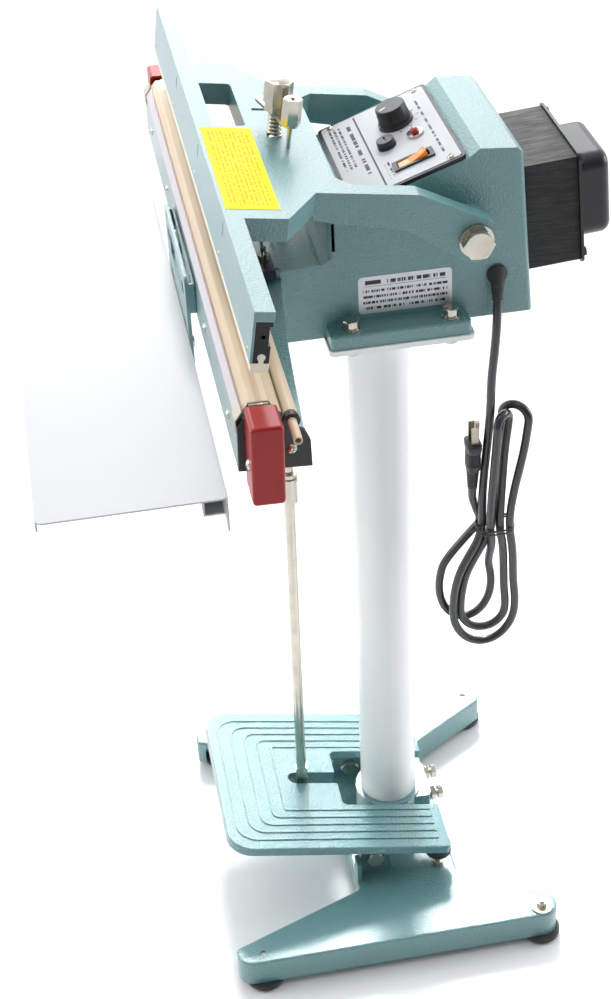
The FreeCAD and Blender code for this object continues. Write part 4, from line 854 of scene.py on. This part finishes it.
def make_plug():
    """Moulded mains plug: ribbed relief, waisted grip with finger ridges, and a flat face."""
    steps, tall = 25, 20
    rings = []
    for i in range(steps + 1):
        t = i / steps
        groove = 0.5 if i % 4 in (1, 2) and 1 < i < 22 else 0.0
        radius = 4.7 + 1.4 * t - groove
        rings.append(squarish((*PLUG_AT, PLUG_Z + tall * t), radius, radius, 2.0))
    # height, half width in x and in y, and squareness
    profile = [(566.0, 6.6, 5.9, 2.2), (567.5, 8.6, 6.3, 2.6)]
    profile += [(569.5, 9.6, 6.5, 3.0), (573.0, 9.9, 6.5, 3.4)]
    for i in range(5):
        z = 575.0 + 2.6 * i
        profile += [(z, 9.9, 6.5, 3.6), (z + 0.6, 9.4, 6.1, 3.6)]
        profile += [(z + 1.5, 9.4, 6.1, 3.6), (z + 2.1, 9.9, 6.5, 3.6)]
    profile += [(590.0, 10.4, 6.8, 4.0), (592.0, 10.9, 6.95, 4.4), (595.8, 11.0, 7.0, 4.6)]
    profile += [(596.7, 10.7, 6.7, 4.6), (597.0, 10.2, 6.2, 4.6)]
    rings += [squarish((*PLUG_AT, z), a, b, p) for z, a, b, p in profile]
    return mesh_object("plug_moulding", loft(rings))


def make_lead(finishes):
    """The lead with its strain relief, tie and plug, in place of the CAD's."""
    lead, relief, tie, plug = make_cord(), make_relief(), make_tie(), make_plug()
    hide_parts("power_cord", "cord_hank")
    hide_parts("cord_grommet")
    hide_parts("cord_tie")
    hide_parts("plug_body")
    pieces = (
        (lead, "cord_pvc"),
        (relief, "black_rubber"),
        (tie, "black_plastic"),
        (plug, "black_plastic"),
    )
    for piece, slot in pieces:
        finishes[slot].apply(piece)
        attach(piece, "stand")


# ---- marks on the controls ----------------------------------------------


def on_panel(x, s, height):
    """A point of the panel's own frame, in millimetres, as a row-frame point."""
    slope = math.radians(PANEL_SLOPE)
    y = PANEL_ORIGIN[1] + s * math.cos(slope) - height * math.sin(slope)
    z = PANEL_ORIGIN[2] + s * math.sin(slope) + height * math.cos(slope)
    return Vector((x, y, z))


def panel_slab(name, centre, turn, half_u, half_v, low, high):
    """A small slab with a rounded top that stands on the panel, turned about the panel's normal."""
    rings = []
    shape = ((low, 1.0), (high - 0.12, 1.0), (high - 0.03, 0.94), (high, 0.8))
    for height, size in shape:
        ring = []
        for x, y, _ in squarish((0, 0, 0), half_u * size, half_v * size, 6.0, 24):
            u = x * math.cos(turn) - y * math.sin(turn)
            v = x * math.sin(turn) + y * math.cos(turn)
            ring.append(on_panel(centre[0] + u, centre[1] + v, height))
        rings.append(ring)
    return mesh_object(name, loft(rings))


def make_knob_pointer():
    """White line let into the timer knob's top."""
    out, half_width, half_length, sunk, proud = 7.6, 0.75, 3.4, 0.5, 0.06
    centre = (KNOB_AT[0] - out * math.sin(KNOB_TURN), KNOB_AT[1] + out * math.cos(KNOB_TURN))
    low, high = KNOB_TOP - sunk, KNOB_TOP + proud
    return panel_slab("knob_pointer", centre, KNOB_TURN, half_width, half_length, low, high)


def on_rocker(x, s, height):
    """A point of the tipped rocker's own frame, in millimetres, as a row-frame point."""
    tip = math.radians(ROCKER_TIP)
    along = s * math.cos(tip) - height * math.sin(tip)
    above = s * math.sin(tip) + height * math.cos(tip)
    return on_panel(SWITCH_AT[0] + x, SWITCH_AT[1] + along, ROCKER_H + above)


def rocker_face(s):
    """Height of the rocker's dished face: flat near its middle, rising to both ends."""
    floor, rise, flat, slope_length = 2.8, 1.7, 4, 9
    return floor + rise * max(0.0, (abs(s) - flat) / slope_length)


def off_ring(bm):
    """A round wire ring, half sunk in the rocker's lower end."""
    count, radius, half_width, half_tall = 40, 1.85, 0.32, 0.12
    rings = []
    for i in range(count):
        a = 2 * math.pi * i / count
        section = []
        for k in range(8):
            b = 2 * math.pi * k / 8
            r = radius + half_width * math.cos(b)
            s = -MARK_S + r * math.cos(a)
            place = on_rocker(r * math.sin(a), s, rocker_face(s) + half_tall * math.sin(b))
            section.append(bm.verts.new(place * MM))
        rings.append(section)
    bridge(bm, rings, closed=True)


def on_bar(bm):
    """A short bar, set into the rocker's upper end."""
    half_width, half_length = 0.4, 2.1
    rings = []
    for height, size in ((-0.2, 1.0), (0.06, 1.0), (0.12, 0.8)):
        outline = squarish((0, 0, 0), half_width * size, half_length * size, 6.0, 20)
        rings.append([
            bm.verts.new(on_rocker(x, MARK_S + y, rocker_face(MARK_S + y) + height) * MM)
            for x, y, _ in outline
        ])
    bridge(bm, rings)
    bm.faces.new(rings[-1])


def make_rocker_marks():
    """Raised white off ring and on bar on the rocker's two ends."""
    bm = bmesh.new()
    off_ring(bm)
    on_bar(bm)
    return mesh_object("rocker_marks", bm)


def make_marks():
    """White paint filled into the controls."""
    white = plain("mark_white", (0.85, 0.85, 0.83), roughness=0.45,
                  scale=200, amount=0.03, grit=900, depth=0.0001)
    pieces = (
        (make_knob_pointer(), "knob", "black_plastic"),
        (make_rocker_marks(), "rocker", "orange_plastic"),
    )
    for piece, body, slot in pieces:
        white.apply(piece)
        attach(piece, body)


# ---- jaw cloth ----------------------------------------------------------


def on_jaw(x, y, z):
    """A point of the lower jaw's upright frame, in millimetres, as a row-frame point."""
    lean = math.radians(-JAW_LEAN)
    level = SEAL[1] + y * math.cos(lean) - z * math.sin(lean)
    height = SEAL[2] + y * math.sin(lean) + z * math.cos(lean)
    return Vector((x, level, height))


def cloth_lane():
    """The cloth's line over the jaw cut into short steps, and how far along it each of its points lies."""
    step = 1.6
    lane = [CLOTH_LINE[0]]
    for (y0, z0), (y1, z1) in zip(CLOTH_LINE, CLOTH_LINE[1:]):
        steps = max(1, round(math.hypot(y1 - y0, z1 - z0) / step))
        lane += [(y0 + (y1 - y0) * i / steps, z0 + (z1 - z0) * i / steps) for i in range(1, steps + 1)]
    gone = [0.0]
    for (y0, z0), (y1, z1) in zip(lane, lane[1:]):
        gone.append(gone[-1] + math.hypot(y1 - y0, z1 - z0))
    return lane, gone


def ripple(x, t):
    """Faint tension ripples in millimetres, at x along the jaw and t from one held edge to the other."""
    free = math.sin(math.pi * t) ** 0.5
    broad = math.sin(x / 9.0 + 2.4 * math.sin(x / 61.0) + 1.5 * t)
    fine = math.sin(x / 3.7 + 4.0 * t)
    return 0.07 * free * (broad * 0.5 + 0.5 * fine)


def make_cloth():
    """Coated glass cloth drawn over the element and held along both edges, and its width in millimetres."""
    lane, gone = cloth_lane()
    columns = 260
    bm = bmesh.new()
    grid = []
    for i in range(columns + 1):
        x = -CLOTH_HALF + 2 * CLOTH_HALF * i / columns
        column = []
        for k, (y, z) in enumerate(lane):
            before, after = lane[max(0, k - 1)], lane[min(len(lane) - 1, k + 1)]
            size = math.hypot(after[0] - before[0], after[1] - before[1])
            out = (-(after[1] - before[1]) / size, (after[0] - before[0]) / size)
            lift = ripple(x, gone[k] / gone[-1])
            column.append(bm.verts.new(on_jaw(x, y + out[0] * lift, z + out[1] * lift) * MM))
        grid.append(column)
    for a, b in zip(grid, grid[1:]):
        for k in range(len(lane) - 1):
            bm.faces.new((a[k], a[k + 1], b[k + 1], b[k]))
    cloth = mesh_object("jaw_cloth", bm)
    skin = cloth.modifiers.new("skin", "SOLIDIFY")
    skin.thickness = CLOTH_T * MM
    skin.offset = 0
    return cloth, gone[-1]


def dress_jaw(finishes):
    """The cloth on the lower jaw, in place of the CAD's."""
    cloth, length = make_cloth()
    finishes["ptfe"].apply(cloth)
    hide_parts("ptfe_cloth")
    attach(cloth, "stand")


def main():
    make_camera()
    make_studio()
    finishes = all_finishes()
    dress_nodes(finishes)
    make_lead(finishes)
    dress_jaw(finishes)
    make_marks()


main()
